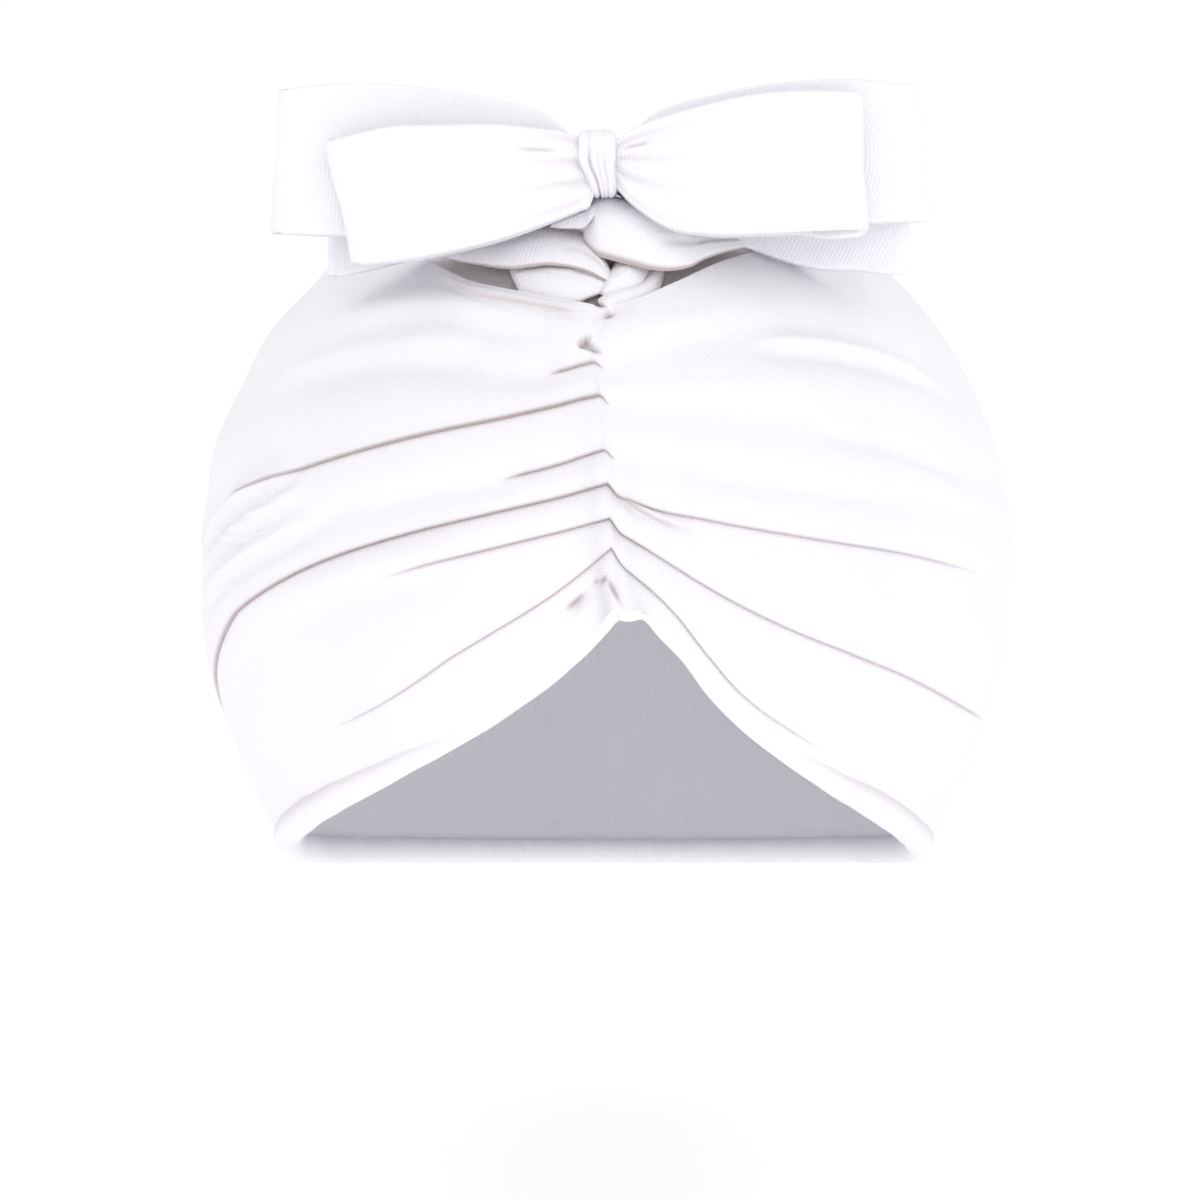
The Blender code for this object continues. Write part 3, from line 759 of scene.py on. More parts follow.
def knitting(tree):
    """The height of ribs made of small stitches, along the lengths that are stored as knit."""
    knit = tree.nodes.new("ShaderNodeAttribute")
    knit.attribute_name = "knit"
    split = tree.nodes.new("ShaderNodeSeparateXYZ")
    tree.links.new(knit.outputs["Vector"], split.inputs[0])
    rib_turn = worked(tree, "MULTIPLY", split.outputs["X"], 2 * math.pi / RIB_PITCH)
    stitch_turn = worked(tree, "MULTIPLY", split.outputs["Y"], 2 * math.pi / STITCH_PITCH)
    uneven = worked(tree, "MULTIPLY", noise(tree, UNEVEN_FINENESS, 1.0), UNEVENNESS)
    rib = worked(tree, "COSINE", worked(tree, "ADD", rib_turn, uneven))
    stitch = worked(tree, "COSINE", worked(tree, "ADD", stitch_turn, uneven))
    ribs = worked(tree, "MULTIPLY", rib, RIB_HEIGHT)
    stitches = worked(tree, "MULTIPLY", worked(tree, "MULTIPLY", rib, stitch), STITCH_HEIGHT)
    return worked(tree, "ADD", ribs, stitches)


def jersey(name):
    """Cotton jersey: ribs of small stitches, a soft nap, and brown-grey shade deep in the folds."""
    cloth = bpy.data.materials.new(name)
    cloth.use_nodes = True
    tree = cloth.node_tree
    shader = tree.nodes["Principled BSDF"]
    shader.inputs["Roughness"].default_value = 0.92
    shader.inputs["Specular IOR Level"].default_value = 0.18
    shader.inputs["Sheen Weight"].default_value = 0.12
    shader.inputs["Sheen Roughness"].default_value = 0.55
    ribs = knitting(tree)
    nap = worked(tree, "MULTIPLY", noise(tree, NAP_FINENESS, 2.0), NAP_HEIGHT)
    bump = tree.nodes.new("ShaderNodeBump")
    bump.inputs["Strength"].default_value = 1.0
    bump.inputs["Distance"].default_value = RIB_RELIEF
    tree.links.new(worked(tree, "ADD", ribs, nap), bump.inputs["Height"])
    tree.links.new(bump.outputs["Normal"], shader.inputs["Normal"])
    patchy = worked(tree, "MULTIPLY", noise(tree, PATCH_FINENESS, 3.0), PATCH_SHADE)
    # Painted shade darkens the valleys between the ribs.
    valley = worked(tree, "MULTIPLY", worked(tree, "SUBTRACT", 0.5, ribs), VALLEY_SHADE)
    body = mixed(tree, worked(tree, "ADD", patchy, valley), COTTON_WHITE, COTTON_SHADE)
    depth = tree.nodes.new("ShaderNodeAttribute")
    depth.attribute_name = "fold_shade"
    deep = worked(tree, "MULTIPLY", depth.outputs["Fac"], FOLD_SHADE_SHARE)
    tree.links.new(mixed(tree, deep, body, FOLD_SHADE), shader.inputs["Base Color"])
    return cloth


def build_crown():
    points, ribs, shade, azimuth, latitude, height = crown_skin()
    rows = np.linspace(0, len(latitude) - 1, LINING_ROWS).round().astype(int)
    inside = LINING_FOLLOWS * np.minimum(height[rows], LINING_HIGHEST) - CLOTH
    lining, _ = egg(azimuth[rows], latitude[rows], inside)
    rings = np.concatenate([points[::-1], lining])
    around, down = measured(rings, False)
    ribs = np.concatenate([ribs, ribs[:, :1] + 360.0 * math.radians(HALF_WIDTH)], axis=1)
    around = np.concatenate([ribs[::-1], ribs[rows]])
    shade = np.concatenate([shade[::-1], np.zeros(lining.shape[:2])])
    top = np.array([[0.0, 0.0, RISE + TOP_STAND], [0.0, 0.0, RISE - CLOTH]])
    return cloth_piece("crown_shell", rings, (around, down), shade, jersey("crown_jersey"), top)


crown_shell = build_crown()
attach(crown_shell, "root")
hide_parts("crown")

# The rolled hem: the crown's lower edge, turned over on itself and stitched, so that it stands as
# a soft round roll. It is thicker at the sides than at the middle of the front.
# Its wrinkles twist round it, and the side next to the crown is shaded.
HEM_SIDES = 28
HEM_SET_IN = 0.35
HEM_TWISTS = 46
HEM_TWIST_LEAN = 1.3
HEM_SWELLS = 7
HEM_SWELL_START = 1.0
HEM_SLOW_TWISTS = 19
HEM_SLOW_LEAN = -2.0
HEM_SLOW_START = 0.7
HEM_SLOW_SHARE = 0.6
HEM_WRINKLE = 0.025
HEM_SEAM_PINCH = 0.05
HEM_SEAM_HALF_ANGLE = 1.2
HEM_STAND_FRONT = 0.66
HEM_STAND_SIDE = 0.92
HEM_STAND_CHANGE = (5, 40)
HEM_SHADE = 0.35
HEM_SHADE_TURN = 0.6
HEM_SHADE_POWER = 9
HEM_SHADE_CHANGE = (12, 40)


def hem_fullness(columns, turns):
    """The hem's size beside a smooth roll's, with its twisted wrinkles and the seam's pinch."""
    around = np.radians(columns)[:, None]
    crease = np.sin(HEM_TWISTS * around + HEM_TWIST_LEAN * turns)
    crease *= np.sin(HEM_SWELLS * around + HEM_SWELL_START)
    slow = HEM_SLOW_TWISTS * around + HEM_SLOW_LEAN * turns + HEM_SLOW_START
    crease += HEM_SLOW_SHARE * np.sin(slow)
    pinch = HEM_SEAM_PINCH * np.exp(-((columns / HEM_SEAM_HALF_ANGLE) ** 2))
    return 1.0 + HEM_WRINKLE * crease - pinch[:, None]


def build_hem():
    columns = crown_columns()
    radius = hem_radius(columns)
    latitude = above_rim(columns, radius)
    path, outward = egg(columns + seam_shift(columns, latitude), latitude, -HEM_SET_IN * CLOTH)
    along = unit(np.roll(path, -1, axis=0) - np.roll(path, 1, axis=0))
    up = unit(np.cross(outward, along))
    outward = unit(np.cross(along, up))
    turns = 2 * math.pi * np.arange(HEM_SIDES) / HEM_SIDES
    full = hem_fullness(columns, turns)
    side = smooth_step(*HEM_STAND_CHANGE, np.abs(columns))
    stand = HEM_STAND_FRONT + (HEM_STAND_SIDE - HEM_STAND_FRONT) * side
    half_out = stand[:, None] * radius[:, None] * full
    rings = (
        path[:, None]
        + up[:, None] * (radius[:, None] * full * np.cos(turns))[..., None]
        + outward[:, None] * (half_out * np.sin(turns))[..., None]
    )
    about, down = measured(rings, True)
    down = np.broadcast_to(down.mean(axis=1, keepdims=True), down.shape)
    shade = np.clip(HEM_SHADE * np.cos(turns - HEM_SHADE_TURN) ** HEM_SHADE_POWER, 0.0, 1.0)
    shade = shade * smooth_step(*HEM_SHADE_CHANGE, np.abs(columns))[:, None]
    return cloth_piece("hem_roll", rings, (down, about), shade, jersey("hem_jersey"))


hem_roll = build_hem()
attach(hem_roll, "root")
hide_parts("rolled_hem")

# The knot: strips of the same jersey, laid over one another on the front of the crown and tucked
# under at their ends. Each is a soft doubled strip, gathered lengthways, between two edges.
# A row holds the azimuth, latitude and lift of edge a and edge b, and how far the body stands out.
Edges = namedtuple("Edges", "az_a lat_a lift_a az_b lat_b lift_b body")
Pleat = namedtuple("Pleat", "run_from run_to across_from across_to depth")
STRANDS = {
    "knot_wrap_right": (
        Edges(-4.9, 55.1, 2.0, -5.0, 58.6, 2.0, 3.0),
        Edges(-3.8, 53.7, 2.2, -4.6, 61.6, 1.8, 4.6),
        Edges(-1.7, 52.0, 2.3, -2.6, 62.4, 1.6, 5.6),
        Edges(1.1, 51.1, 2.4, 1.6, 62.6, 1.5, 5.9),
        Edges(4.8, 50.2, 2.4, 7.0, 62.2, 1.4, 5.6),
        Edges(8.5, 49.4, 2.4, 12.0, 61.2, 1.3, 4.7),
        Edges(12.0, 49.3, 2.3, 16.6, 60.0, 1.2, 3.8),
        Edges(15.6, 49.9, 2.2, 21.8, 59.2, 1.2, 3.0),
        Edges(19.4, 51.3, 2.1, 25.5, 58.6, 1.1, 2.4),
        Edges(24.0, 52.5, 1.9, 29.6, 57.9, 1.0, 1.8),
        Edges(29.2, 53.4, 1.7, 33.8, 57.0, 0.9, 1.2),
        Edges(34.7, 54.4, 1.4, 37.7, 56.1, 0.8, 0.6),
    ),
    "knot_wrap_left_upper": (
        Edges(-35.1, 52.2, 0.8, -36.1, 53.5, 0.6, 0.8),
        Edges(-29.5, 51.2, 1.2, -32.7, 54.9, 0.6, 1.3),
        Edges(-25.1, 50.6, 1.5, -29.3, 56.3, 0.7, 1.8),
        Edges(-21.1, 50.0, 1.8, -25.9, 57.6, 0.8, 2.1),
        Edges(-17.5, 49.7, 2.0, -21.9, 58.7, 0.9, 2.3),
        Edges(-14.5, 50.0, 2.1, -18.1, 59.4, 0.9, 2.4),
        Edges(-11.4, 50.4, 2.1, -13.8, 59.6, 0.8, 2.3),
        Edges(-8.6, 50.4, 2.0, -9.7, 59.3, 0.7, 2.1),
        Edges(-5.7, 50.2, 1.8, -6.2, 58.7, 0.5, 1.8),
        Edges(-3.1, 49.8, 1.5, -2.9, 56.9, 0.4, 1.4),
        Edges(-1.1, 49.2, 1.2, -0.6, 54.0, 0.3, 1.1),
        Edges(0.5, 48.8, 0.8, 1.0, 50.9, 0.3, 0.7),
    ),
    "knot_wrap_left_lower": (
        Edges(-16.1, 47.6, -0.4, -19.8, 51.5, -0.3, 1.0),
        Edges(-14.4, 47.2, -0.5, -18.1, 52.6, -0.5, 1.6),
        Edges(-12.0, 46.6, -0.6, -14.9, 53.1, -0.8, 2.0),
        Edges(-9.7, 46.2, -0.6, -11.8, 53.4, -0.9, 2.2),
        Edges(-7.1, 46.0, -0.6, -8.4, 53.5, -0.9, 2.2),
        Edges(-4.8, 46.3, -0.6, -5.2, 53.3, -0.9, 2.0),
        Edges(-3.3, 46.9, -0.5, -2.8, 52.5, -0.8, 1.7),
        Edges(-1.5, 47.5, -0.4, -1.0, 51.4, -0.6, 1.3),
        Edges(0.0, 48.2, -0.4, 0.4, 50.3, -0.5, 0.9),
    ),
    "knot_tuck": (
        Edges(-11.5, 55.0, 4.6, -10.9, 55.2, 5.0, 0.5),
        Edges(-9.0, 54.2, 5.2, -8.4, 56.2, 5.5, 0.8),
        Edges(-6.3, 53.8, 5.6, -5.9, 57.2, 5.9, 0.9),
        Edges(-4.3, 53.5, 6.0, -4.0, 57.8, 6.4, 0.9),
        Edges(-3.1, 53.9, 6.8, -2.3, 57.6, 7.0, 0.8),
        Edges(-1.9, 55.3, 7.0, -0.6, 57.8, 7.0, 0.3),
    ),
    "knot_loop_upper": (
        Edges(2.3, 54.0, -0.3, 9.7, 52.9, -0.4, 1.4),
        Edges(1.2, 52.0, -0.2, 8.3, 50.7, -0.4, 1.9),
        Edges(0.2, 50.5, -0.1, 6.9, 49.1, -0.3, 2.1),
        Edges(-0.6, 49.1, -0.1, 4.6, 48.1, -0.2, 1.9),
        Edges(-0.9, 48.2, -0.2, 2.0, 47.6, -0.2, 1.3),
        Edges(-1.3, 47.6, -0.3, 0.0, 47.2, -0.3, 0.8),
    ),
    "knot_loop_lower": (
        Edges(8.8, 53.2, -1.2, 12.4, 53.1, -1.4, 1.3),
        Edges(8.0, 51.3, -1.2, 11.6, 50.9, -1.4, 1.6),
        Edges(6.5, 49.7, -1.2, 9.6, 48.1, -1.3, 1.8),
        Edges(4.3, 48.8, -1.2, 7.3, 46.6, -1.1, 1.9),
        Edges(1.7, 48.4, -1.1, 4.9, 45.5, -0.9, 2.0),
        Edges(-0.4, 47.7, -1.0, 3.1, 44.5, -0.7, 1.9),
        Edges(-1.5, 46.9, -0.8, 1.4, 43.9, -0.5, 1.6),
        Edges(-1.2, 46.0, -0.5, 0.2, 44.6, -0.4, 0.9),
    ),
}
# A pleat's ends, as shares of the way along the strand and from edge a across to edge b.
PLEATS = {
    "knot_wrap_right": (Pleat(-0.05, 0.30, 0.80, 0.86, 0.55), Pleat(0.45, 1.05, 0.22, 0.30, 0.35)),
    "knot_wrap_left_upper": (
        Pleat(0.62, 1.05, 0.24, 0.40, 0.2),
        Pleat(-0.05, 0.40, 0.55, 0.66, 0.3),
    ),
    "knot_wrap_left_lower": (Pleat(0.55, 1.05, 0.60, 0.40, 0.25),),
}
PLEAT_SHARE_WIDTH = 0.045
PLEAT_START = (0.0, 0.15)
PLEAT_END = (0.6, 1.0)
PLEAT_DARKNESS = 1.2
PLEAT_DARK_WIDTH = 0.7
# Beside each pleat the cloth swells. The swell's height and width are shares of the pleat's own,
# and its place is in widths of the swell.
SWELL_SHARE = 0.5
SWELL_WIDTH = 1.6
SWELL_PLACE = 1.6
STRAND_STATIONS = 110
STRAND_ACROSS = 44
STRAND_UNDERSIDE = 14
STRAND_FULLNESS = 0.7
STRAND_UNDER_FULLNESS = 0.45
STRAND_PEAK = {"knot_wrap_right": 0.9}
STRAND_EDGE_SHADE = 0.95
STRAND_EDGE_WIDTH = (0.02, 0.14)
STRAND_END_SHARE = 0.07
STRAND_END_LEAST = 0.02
STRAND_GATHERS = 0.035
STRAND_GATHER_COUNTS = (4.5, 7.3)
STRAND_FULL_BODY = 4.0
# The gathers wander across the strand by these shares of its width, at so many radians along it.
Wander = namedtuple("Wander", "share radians")
LONG_WANDER = Wander(0.05, 7.0)
SHORT_WANDER = Wander(0.03, 15.0)
PLEAT_WANDER = 0.3


def eased(rows, count):
    """The rows of a table, passed through smoothly at count even stations."""
    table = np.array(rows, float)
    stations = np.linspace(0.0, 1.0, len(table))
    at = np.linspace(0.0, 1.0, count)
    return at, np.stack([through(stations, column, at) for column in table.T], -1)


def strand_pleats(name, run, across):
    """The depth of a strand's pleats and fine gathers, and their shade."""
    start = len(name)
    wander = LONG_WANDER.share * np.sin(LONG_WANDER.radians * run + start)
    wander = wander + SHORT_WANDER.share * np.sin(SHORT_WANDER.radians * run + 2 * start)
    coarse, fine = STRAND_GATHER_COUNTS
    gathers = np.sin(2 * math.pi * coarse * (across + wander))
    gathers = gathers + np.sin(2 * math.pi * fine * (across - wander))
    body = max(row.body for row in STRANDS[name])
    height = STRAND_GATHERS * gathers * min(1.0, body / STRAND_FULL_BODY)
    shade = np.zeros_like(height)
    for pleat in PLEATS.get(name, ()):
        share = np.clip((run - pleat.run_from) / (pleat.run_to - pleat.run_from), 0.0, 1.0)
        line = pleat.across_from + (pleat.across_to - pleat.across_from) * share
        kept = smooth_step(*PLEAT_START, share) * (1.0 - smooth_step(*PLEAT_END, share))
        away = (across - line - PLEAT_WANDER * wander) / PLEAT_SHARE_WIDTH
        swell = np.exp(-((away / SWELL_WIDTH - SWELL_PLACE) ** 2))
        height = height + pleat.depth * kept * (SWELL_SHARE * swell - np.exp(-(away**2)))
        dark = np.exp(-((away / PLEAT_DARK_WIDTH) ** 2))
        shade = np.maximum(shade, PLEAT_DARKNESS * pleat.depth * kept * dark)
    return height, shade


def build_strand(name):
    run, table = eased(STRANDS[name], STRAND_STATIONS)
    az_a, lat_a, lift_a, az_b, lat_b, lift_b, body = table.T[..., None]
    over = np.linspace(0.0, math.pi, STRAND_ACROSS)
    under = np.linspace(math.pi, 2 * math.pi, STRAND_UNDERSIDE + 2)[1:-1]
    turn = np.concatenate([over, under])
    across = (1.0 - np.cos(turn)) / 2
    outer = turn <= math.pi
    bulge = np.sin(math.pi * across ** STRAND_PEAK.get(name, 1.0)).clip(0.0, 1.0)
    swell = np.where(outer, bulge**STRAND_FULLNESS, -STRAND_UNDER_FULLNESS * bulge)
    from_end = np.minimum(run, 1.0 - run)[:, None] / STRAND_END_SHARE
    rounding = np.sqrt(1.0 - (1.0 - np.clip(from_end, STRAND_END_LEAST, 1.0)) ** 2)
    pleats, shade = strand_pleats(name, run[:, None], across)
    inside = outer * bulge
    lift = lift_a + (lift_b - lift_a) * across
    height = lift + body * rounding * swell + pleats * inside * rounding
    rings, _ = egg(az_a + (az_b - az_a) * across, lat_a + (lat_b - lat_a) * across, height)
    tips = rings[[0, -1]].mean(axis=1)
    around, down = measured(rings, False)
    edge = np.where(outer, 1.0 - smooth_step(*STRAND_EDGE_WIDTH, bulge), 1.0)
    shade = np.maximum(shade * inside, STRAND_EDGE_SHADE * edge)
    cloth = jersey(name + "_jersey")
    return cloth_piece(name + "_cloth", rings, (down, around), shade, cloth, tips)


# A piece of jersey laid flat, by its width, length and area in metres. A strand's ends are cut to a
# taper.
Flat = namedtuple("Flat", "width length area")
for strand_name in STRANDS:
    strand = build_strand(strand_name)
    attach(strand, "root")
    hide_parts(strand_name)

# The bows: three flat loops of doubled jersey, one behind another, each a strip sewn into a ring
# and pinched in at its middle, where its cloth falls into pleats. A row holds the strip's upper
# and lower edge, and how far ahead the front and the back of its ring are.
BOW_CLOTH = 1.7
BOW_SIDEWAYS = -1.0
BOW_FORWARD = 49.5
BOW_UP = 73.3
BOW_TILT = 8.0
Across = namedtuple("Across", "sideways top bottom front back")
BOWS = {
    "front_bow": (
        Across(-39.5, 3.6, -15.0, 2.6, 0.4),
        Across(-32.0, 5.2, -14.5, 4.8, -0.6),
        Across(-24.0, 5.4, -13.2, 5.2, -0.9),
        Across(-17.0, 5.6, -11.6, 4.6, -1.0),
        Across(-9.7, 5.2, -9.1, 3.0, -1.05),
        Across(-5.5, 4.8, -7.4, 1.7, -1.05),
        Across(-2.8, 4.0, -6.3, 1.15, -1.05),
        Across(-1.5, 3.6, -5.6, 1.05, -1.05),
        Across(-0.6, 3.6, -3.0, 1.05, -1.05),
        Across(2.4, 3.6, -2.8, 1.05, -1.05),
        Across(4.6, 4.9, -5.0, 1.6, -1.05),
        Across(10.7, 7.1, -9.3, 3.4, -1.05),
        Across(17.0, 8.7, -10.4, 4.8, -1.0),
        Across(25.0, 10.2, -10.4, 5.4, -0.9),
        Across(33.0, 10.7, -10.0, 5.0, -0.5),
        Across(40.0, 10.9, -9.6, 2.8, 0.6),
    ),
    "back_bow": (
        Across(-50.2, 12.2, -9.7, -3.4, -6.2),
        Across(-42.0, 13.0, -10.0, -2.9, -7.8),
        Across(-30.0, 12.6, -9.6, -2.9, -7.6),
        Across(-18.0, 10.8, -8.6, -3.0, -6.6),
        Across(-9.0, 8.4, -6.6, -3.1, -5.7),
        Across(-2.4, 3.6, -2.8, -3.15, -5.25),
        Across(2.4, 3.6, -2.8, -3.15, -5.25),
        Across(9.0, 8.4, -6.4, -3.1, -5.7),
        Across(18.0, 11.2, -7.6, -3.0, -6.6),
        Across(30.0, 13.2, -8.2, -2.9, -7.6),
        Across(42.0, 13.6, -8.1, -2.9, -7.8),
        Across(50.0, 13.0, -7.8, -3.4, -6.2),
    ),
    "under_bow": (
        Across(-43.0, 1.0, -16.2, -10.2, -12.2),
        Across(-35.0, 4.0, -14.4, -10.2, -13.0),
        Across(-25.0, 6.0, -11.6, -9.6, -12.2),
        Across(-14.0, 6.2, -8.4, -8.6, -10.9),
        Across(-7.0, 5.4, -5.8, -7.6, -9.9),
        Across(-2.4, 3.6, -2.8, -7.35, -9.45),
        Across(2.4, 3.6, -2.8, -7.35, -9.45),
        Across(7.0, 5.4, -6.0, -7.6, -9.9),
        Across(14.0, 6.2, -8.6, -8.6, -10.9),
        Across(24.0, 5.4, -11.6, -9.6, -12.2),
        Across(35.0, 4.0, -14.8, -9.8, -13.0),
        Across(43.0, 2.6, -15.2, -9.2, -12.8),
        Across(48.6, 1.6, -15.9, -8.8, -12.0),
    ),
}
# How far to the right of its bottom the top of each bow's left and right end is.
LEANS = {"front_bow": (-4.2, -1.2), "back_bow": (1.6, -2.2), "under_bow": (-0.6, 1.6)}
LEAN_POWER = 4
BOW_END_ROUNDNESS = 0.8
STRIP_EDGE_ROUNDNESS = 0.6
PINCH_HALF_WIDTH = 2.4
PINCH_PLEATS = {"front_bow": 3.5, "back_bow": 2.5, "under_bow": 3.0}
PINCH_PLEAT_DEPTH = 0.28
PINCH_PLEAT_REACH = 8.0
PINCH_PLEAT_FADE = 1.4
PINCH_PLEAT_START = (-1.0, 1.5)
PINCH_PLEAT_TURN = 0.5
PINCH_PLEAT_SHADE = 0.3
BOW_WAVE = 40.0
BOW_WAVE_DEPTH = 0.22
BOW_WAVE_ALONG = 2.0
BOW_WAVE_UP = 2.5
BOW_WAVE_START = (2.0, 12.0)
# Short creases on the front loops beside the tie.
BowCrease = namedtuple("BowCrease", "side_from side_to up_from up_to depth")
BOW_CREASES = (
    BowCrease(-13.5, -6.0, 2.4, 2.2, 0.45),
    BowCrease(3.6, 8.6, 2.6, 3.6, 0.45),
    BowCrease(-9.0, -3.2, -2.6, -3.0, 0.2),
    BowCrease(3.4, 10.0, -1.2, -3.0, 0.2),
)
BOW_CREASE_WIDTH = 0.3
BOW_CREASE_START = (-0.1, 0.3)
BOW_CREASE_END = (0.6, 1.05)
BOW_CREASE_SHADE = 0.9
# How far the back of the front bow's right-hand loop hangs below its front at the open end.
SLOT_DROP = 1.3
SLOT_BEHIND = (0.0, 2.4)
SLOT_START = (30.0, 38.0)
BOW_RUN_STATIONS = 120
BOW_MIDDLE_PACE = 0.6
BOW_TURN_STATIONS = 10
STRIP_ROWS = 60
EDGE_ROWS = 6


def bow_point(sideways, up, forward):
    """A point of the bow's own upright frame, tilted back and set ahead of the crown's axis."""
    tilt = math.radians(BOW_TILT)
    return np.stack(
        [
            sideways + BOW_SIDEWAYS,
            -BOW_FORWARD - forward * math.cos(tilt) + up * math.sin(tilt),
            BOW_UP + up * math.cos(tilt) + forward * math.sin(tilt),
        ],
        -1,
    )


def bow_stations(rows):
    """Sideways, forward, top and bottom of the strip, once round its ring."""
    table = np.array(rows, float)
    sides = table[:, 0]
    spread = np.linspace(-1.0, 1.0, BOW_RUN_STATIONS)
    spread = BOW_MIDDLE_PACE * spread + (1.0 - BOW_MIDDLE_PACE) * spread**3
    run = (sides[0] + sides[-1]) / 2 + (sides[-1] - sides[0]) / 2 * spread
    top, bottom, front, back = (through(sides, table[:, k], run) for k in (1, 2, 3, 4))
    turn = np.linspace(0.0, math.pi, BOW_TURN_STATIONS + 2)[1:-1]
    parts = []
    for end, way in ((-1, 1), (0, -1)):
        middle = (front[end] + back[end]) / 2
        half = (front[end] - back[end]) / 2
        round_side = run[end] + way * BOW_END_ROUNDNESS * half * np.sin(turn)
        round_forward = middle + way * half * np.cos(turn)
        level = np.ones(len(turn))
        parts.append((round_side, round_forward, top[end] * level, bottom[end] * level))
    right, left = parts
    sideways = np.concatenate([run, right[0], run[::-1], left[0]])
    forward = np.concatenate([front, right[1], back[::-1], left[1]])
    tops = np.concatenate([top, right[2], top[::-1], left[2]])
    bottoms = np.concatenate([bottom, right[3], bottom[::-1], left[3]])
    return sideways, forward, tops, bottoms


def strip_section():
    """Once round the strip's flat section: how far up it is, and which side of its middle."""
    up = np.linspace(0.0, 1.0, STRIP_ROWS)
    turn = np.linspace(0.0, math.pi, EDGE_ROWS + 2)[1:-1]
    side = np.concatenate([np.ones(STRIP_ROWS), np.cos(turn), -np.ones(STRIP_ROWS), -np.cos(turn)])
    level = np.concatenate([up, np.ones(EDGE_ROWS), up[::-1], np.zeros(EDGE_ROWS)])
    past = np.concatenate([np.zeros(STRIP_ROWS), np.sin(turn), np.zeros(STRIP_ROWS), -np.sin(turn)])
    return side, level, past


def square_to(first, second):
    """Directions square to a closed path in a plane, to the left of the way it goes."""
    run = np.roll(first, -1) - np.roll(first, 1)
    rise = np.roll(second, -1) - np.roll(second, 1)
    length = np.hypot(run, rise)
    return -rise / length, run / length


def bow_creases(sideways, forward, up):
    """How deep each short crease is, all over the strip. Only the front of a loop has them."""
    for crease in BOW_CREASES:
        share = (sideways - crease.side_from) / (crease.side_to - crease.side_from)
        line = crease.up_from + (crease.up_to - crease.up_from) * share
        kept = smooth_step(*BOW_CREASE_START, share) * (1.0 - smooth_step(*BOW_CREASE_END, share))
        dip = np.exp(-(((up - line[:, None]) / BOW_CREASE_WIDTH) ** 2)) * kept[:, None]
        yield crease.depth * dip * (forward > 0.0)[:, None]


def build_bow(name):
    sideways, forward, top, bottom = bow_stations(BOWS[name])
    if name == "front_bow":
        behind = 1.0 - smooth_step(*SLOT_BEHIND, forward)
        bottom = bottom - SLOT_DROP * behind * smooth_step(*SLOT_START, sideways)
    out_x, out_y = square_to(sideways, forward)
    side, level, past = strip_section()
    left, right = LEANS[name]
    reach = np.abs(sideways) / np.abs(sideways).max()
    lean = np.where(sideways < 0, left, right) * reach**LEAN_POWER
    half = BOW_CLOTH / 2
    up = bottom[:, None] + level * (top - bottom)[:, None] + STRIP_EDGE_ROUNDNESS * half * past
    from_pinch = np.maximum(np.abs(sideways) - PINCH_HALF_WIDTH, 0.0)
    kept = np.exp(-((from_pinch / PINCH_PLEAT_REACH) ** PINCH_PLEAT_FADE))
    kept = kept * smooth_step(*PINCH_PLEAT_START, from_pinch)
    turn = PINCH_PLEAT_TURN * np.sign(sideways)[:, None]
    wave = np.cos(2 * math.pi * PINCH_PLEATS[name] * (level - 0.5) + turn)
    along, upward = sideways[:, None] * BOW_WAVE_ALONG, up * BOW_WAVE_UP
    slack = slow_waves(along, upward, len(name), BOW_WAVE, BOW_WAVE_DEPTH)
    slack = slack * smooth_step(*BOW_WAVE_START, np.abs(sideways))[:, None]
    moved = PINCH_PLEAT_DEPTH * kept[:, None] * wave + slack
    shade = PINCH_PLEAT_SHADE * kept[:, None] * np.clip(-wave, 0.0, 1.0) ** 2
    for dip in bow_creases(sideways, forward, up) if name == "front_bow" else ():
        moved = moved - dip
        shade = np.maximum(shade, BOW_CREASE_SHADE * dip * (side > 0))
    stand = side * half + moved
    x = sideways[:, None] + lean[:, None] * (level - 0.5) + stand * out_x[:, None]
    rings = bow_point(x, up, forward[:, None] + stand * out_y[:, None])
    around, down = measured(rings, True)
    return cloth_piece(name + "_strip", rings, (down, around), shade, jersey(name + "_jersey"))


# The width and length that each bow's doubled strip was cut to before it was sewn into its ring.
BOW_FLATS = {
    "under_bow": (0.020, 0.192),
    "back_bow": (0.0235, 0.210),
    "front_bow": (0.0215, 0.172),
}
for bow_name in BOW_FLATS:
    bow = build_bow(bow_name)
    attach(bow, "root")
    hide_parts(bow_name)

# The tie: a narrow strip of jersey drawn round the pinched middles of all three bows and stitched
# behind. Its gathers run up and down it, and it is narrower at its foot.
TIE_HALF_WIDTH = 2.5
TIE_FOOT_SHARE = 0.64
TIE_INSIDE_HEIGHT = 7.1
TIE_MIDDLE_UP = 0.6
TIE_INSIDE_FRONT = 2.3
TIE_INSIDE_BACK = -10.7
TIE_SQUARENESS = 0.35
TIE_STATIONS = 120
TIE_FINE_STEPS = 40
TIE_NARROWING = (-4.5, 1.0)
TIE_FOOT_SIDEWAYS = 0.7
TIE_TOP_SIDEWAYS = -0.4
TIE_EDGE_ROUNDNESS = 0.5
TIE_EDGE_DROP = 0.25
TIE_EDGE_POWER = 6
# Each gather's place across the tie, from -1 at its left edge to 1 at its right.
Gather = namedtuple("Gather", "at_top at_foot depth")
TIE_GATHERS = (
    Gather(-0.50, -0.35, 0.42),
    Gather(0.02, 0.06, 0.16),
    Gather(0.44, 0.46, 0.20),
)
GATHER_WIDTH = 0.11
GATHER_FADE = 0.7
GATHER_FADE_HEIGHTS = (0.5, 3.5)
GATHER_SHADE = 1.3
GATHER_SHADE_MOST = 0.5


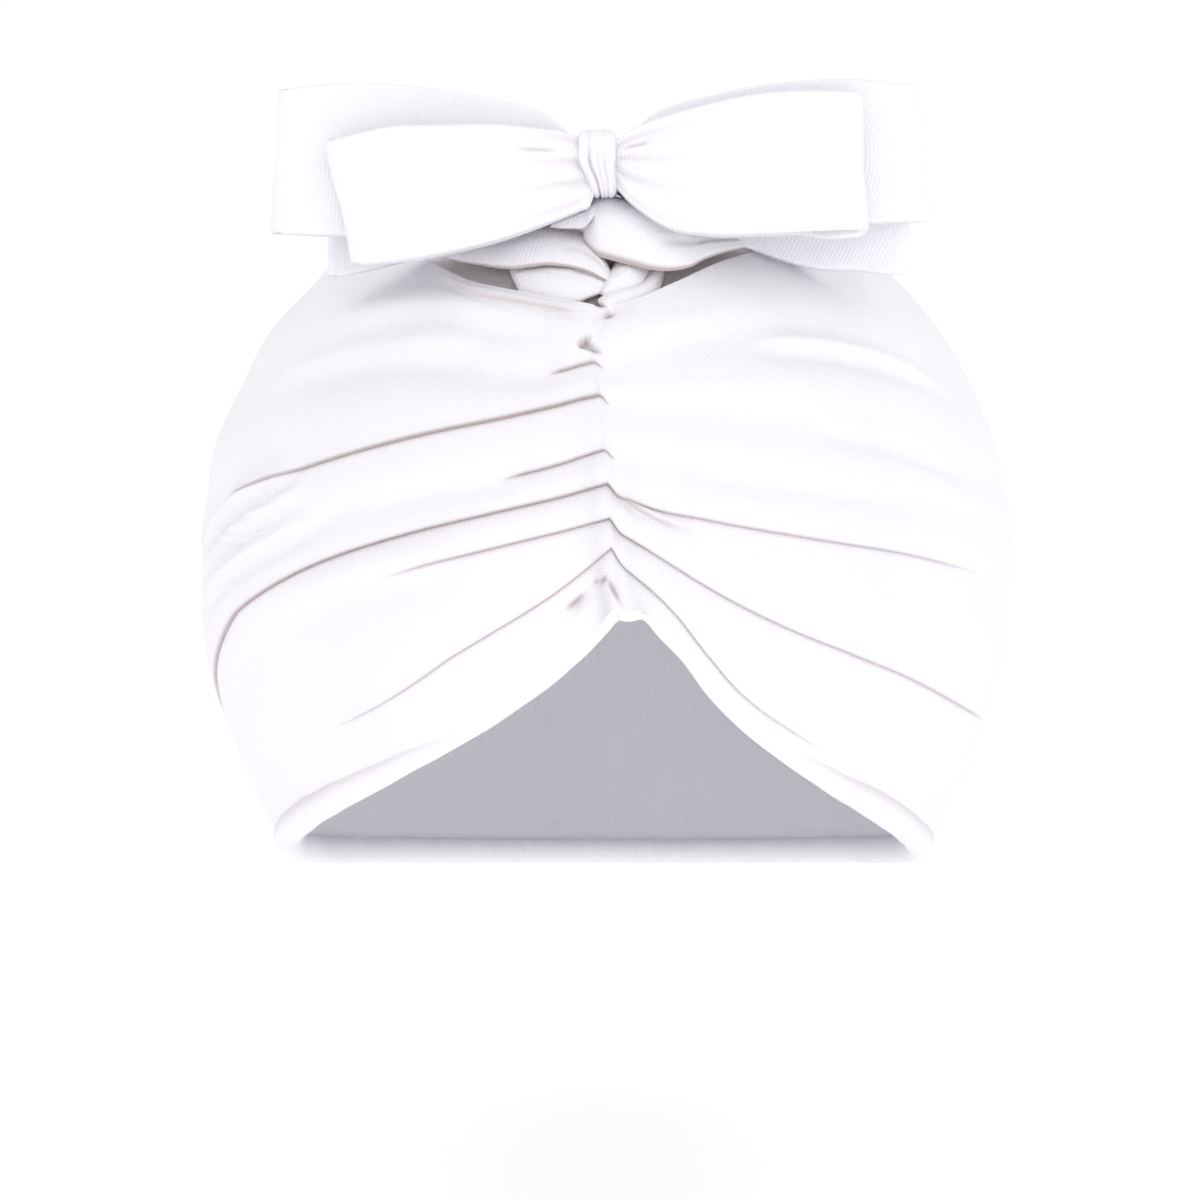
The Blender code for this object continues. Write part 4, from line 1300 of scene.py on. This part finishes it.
def tie_path():
    """Once round the tie's middle in even steps: forward and up, with rounded corners."""
    turn = np.linspace(0.0, 2 * math.pi, TIE_FINE_STEPS * TIE_STATIONS + 1)
    half_depth = (TIE_INSIDE_FRONT - TIE_INSIDE_BACK) / 2 + BOW_CLOTH / 2
    half_height = TIE_INSIDE_HEIGHT / 2 + BOW_CLOTH / 2
    cosine, sine = np.cos(turn), np.sin(turn)
    forward = np.sign(cosine) * np.abs(cosine) ** TIE_SQUARENESS * half_depth
    up = np.sign(sine) * np.abs(sine) ** TIE_SQUARENESS * half_height
    walked = np.concatenate([[0.0], np.cumsum(np.hypot(np.diff(forward), np.diff(up)))])
    even = np.linspace(0.0, walked[-1], TIE_STATIONS, endpoint=False)
    return np.interp(even, walked, forward), np.interp(even, walked, up) + TIE_MIDDLE_UP


def build_tie():
    forward, up = tie_path()
    middle = (TIE_INSIDE_FRONT + TIE_INSIDE_BACK) / 2
    in_forward, in_up = square_to(forward, up)
    side, level, past = strip_section()
    across = 2.0 * level - 1.0
    height_share = smooth_step(*TIE_NARROWING, up)[:, None]
    foot = TIE_FOOT_SHARE + (1.0 - TIE_FOOT_SHARE) * height_share
    lean = TIE_FOOT_SIDEWAYS + (TIE_TOP_SIDEWAYS - TIE_FOOT_SIDEWAYS) * height_share
    half = BOW_CLOTH / 2
    dip = np.zeros((TIE_STATIONS, len(across)))
    for gather in TIE_GATHERS:
        line = gather.at_foot + (gather.at_top - gather.at_foot) * height_share
        dip += gather.depth * np.exp(-(((across - line) / GATHER_WIDTH) ** 2))
    dip *= (side > 0) * (1.0 - GATHER_FADE * smooth_step(*GATHER_FADE_HEIGHTS, up))[:, None]
    stand = side * half - dip - TIE_EDGE_DROP * (side > 0) * across**TIE_EDGE_POWER
    x = lean + across * TIE_HALF_WIDTH * foot + past * TIE_EDGE_ROUNDNESS * half
    raised = up[:, None] - stand * in_up[:, None]
    rings = bow_point(x, raised, middle + forward[:, None] - stand * in_forward[:, None])
    shade = np.clip(GATHER_SHADE * dip, 0.0, GATHER_SHADE_MOST)
    around, down = measured(rings, True)
    return cloth_piece("bow_tie_strip", rings, (down, around), shade, jersey("bow_tie_jersey"))


bow_tie = build_tie()
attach(bow_tie, "root")
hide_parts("bow_tie")
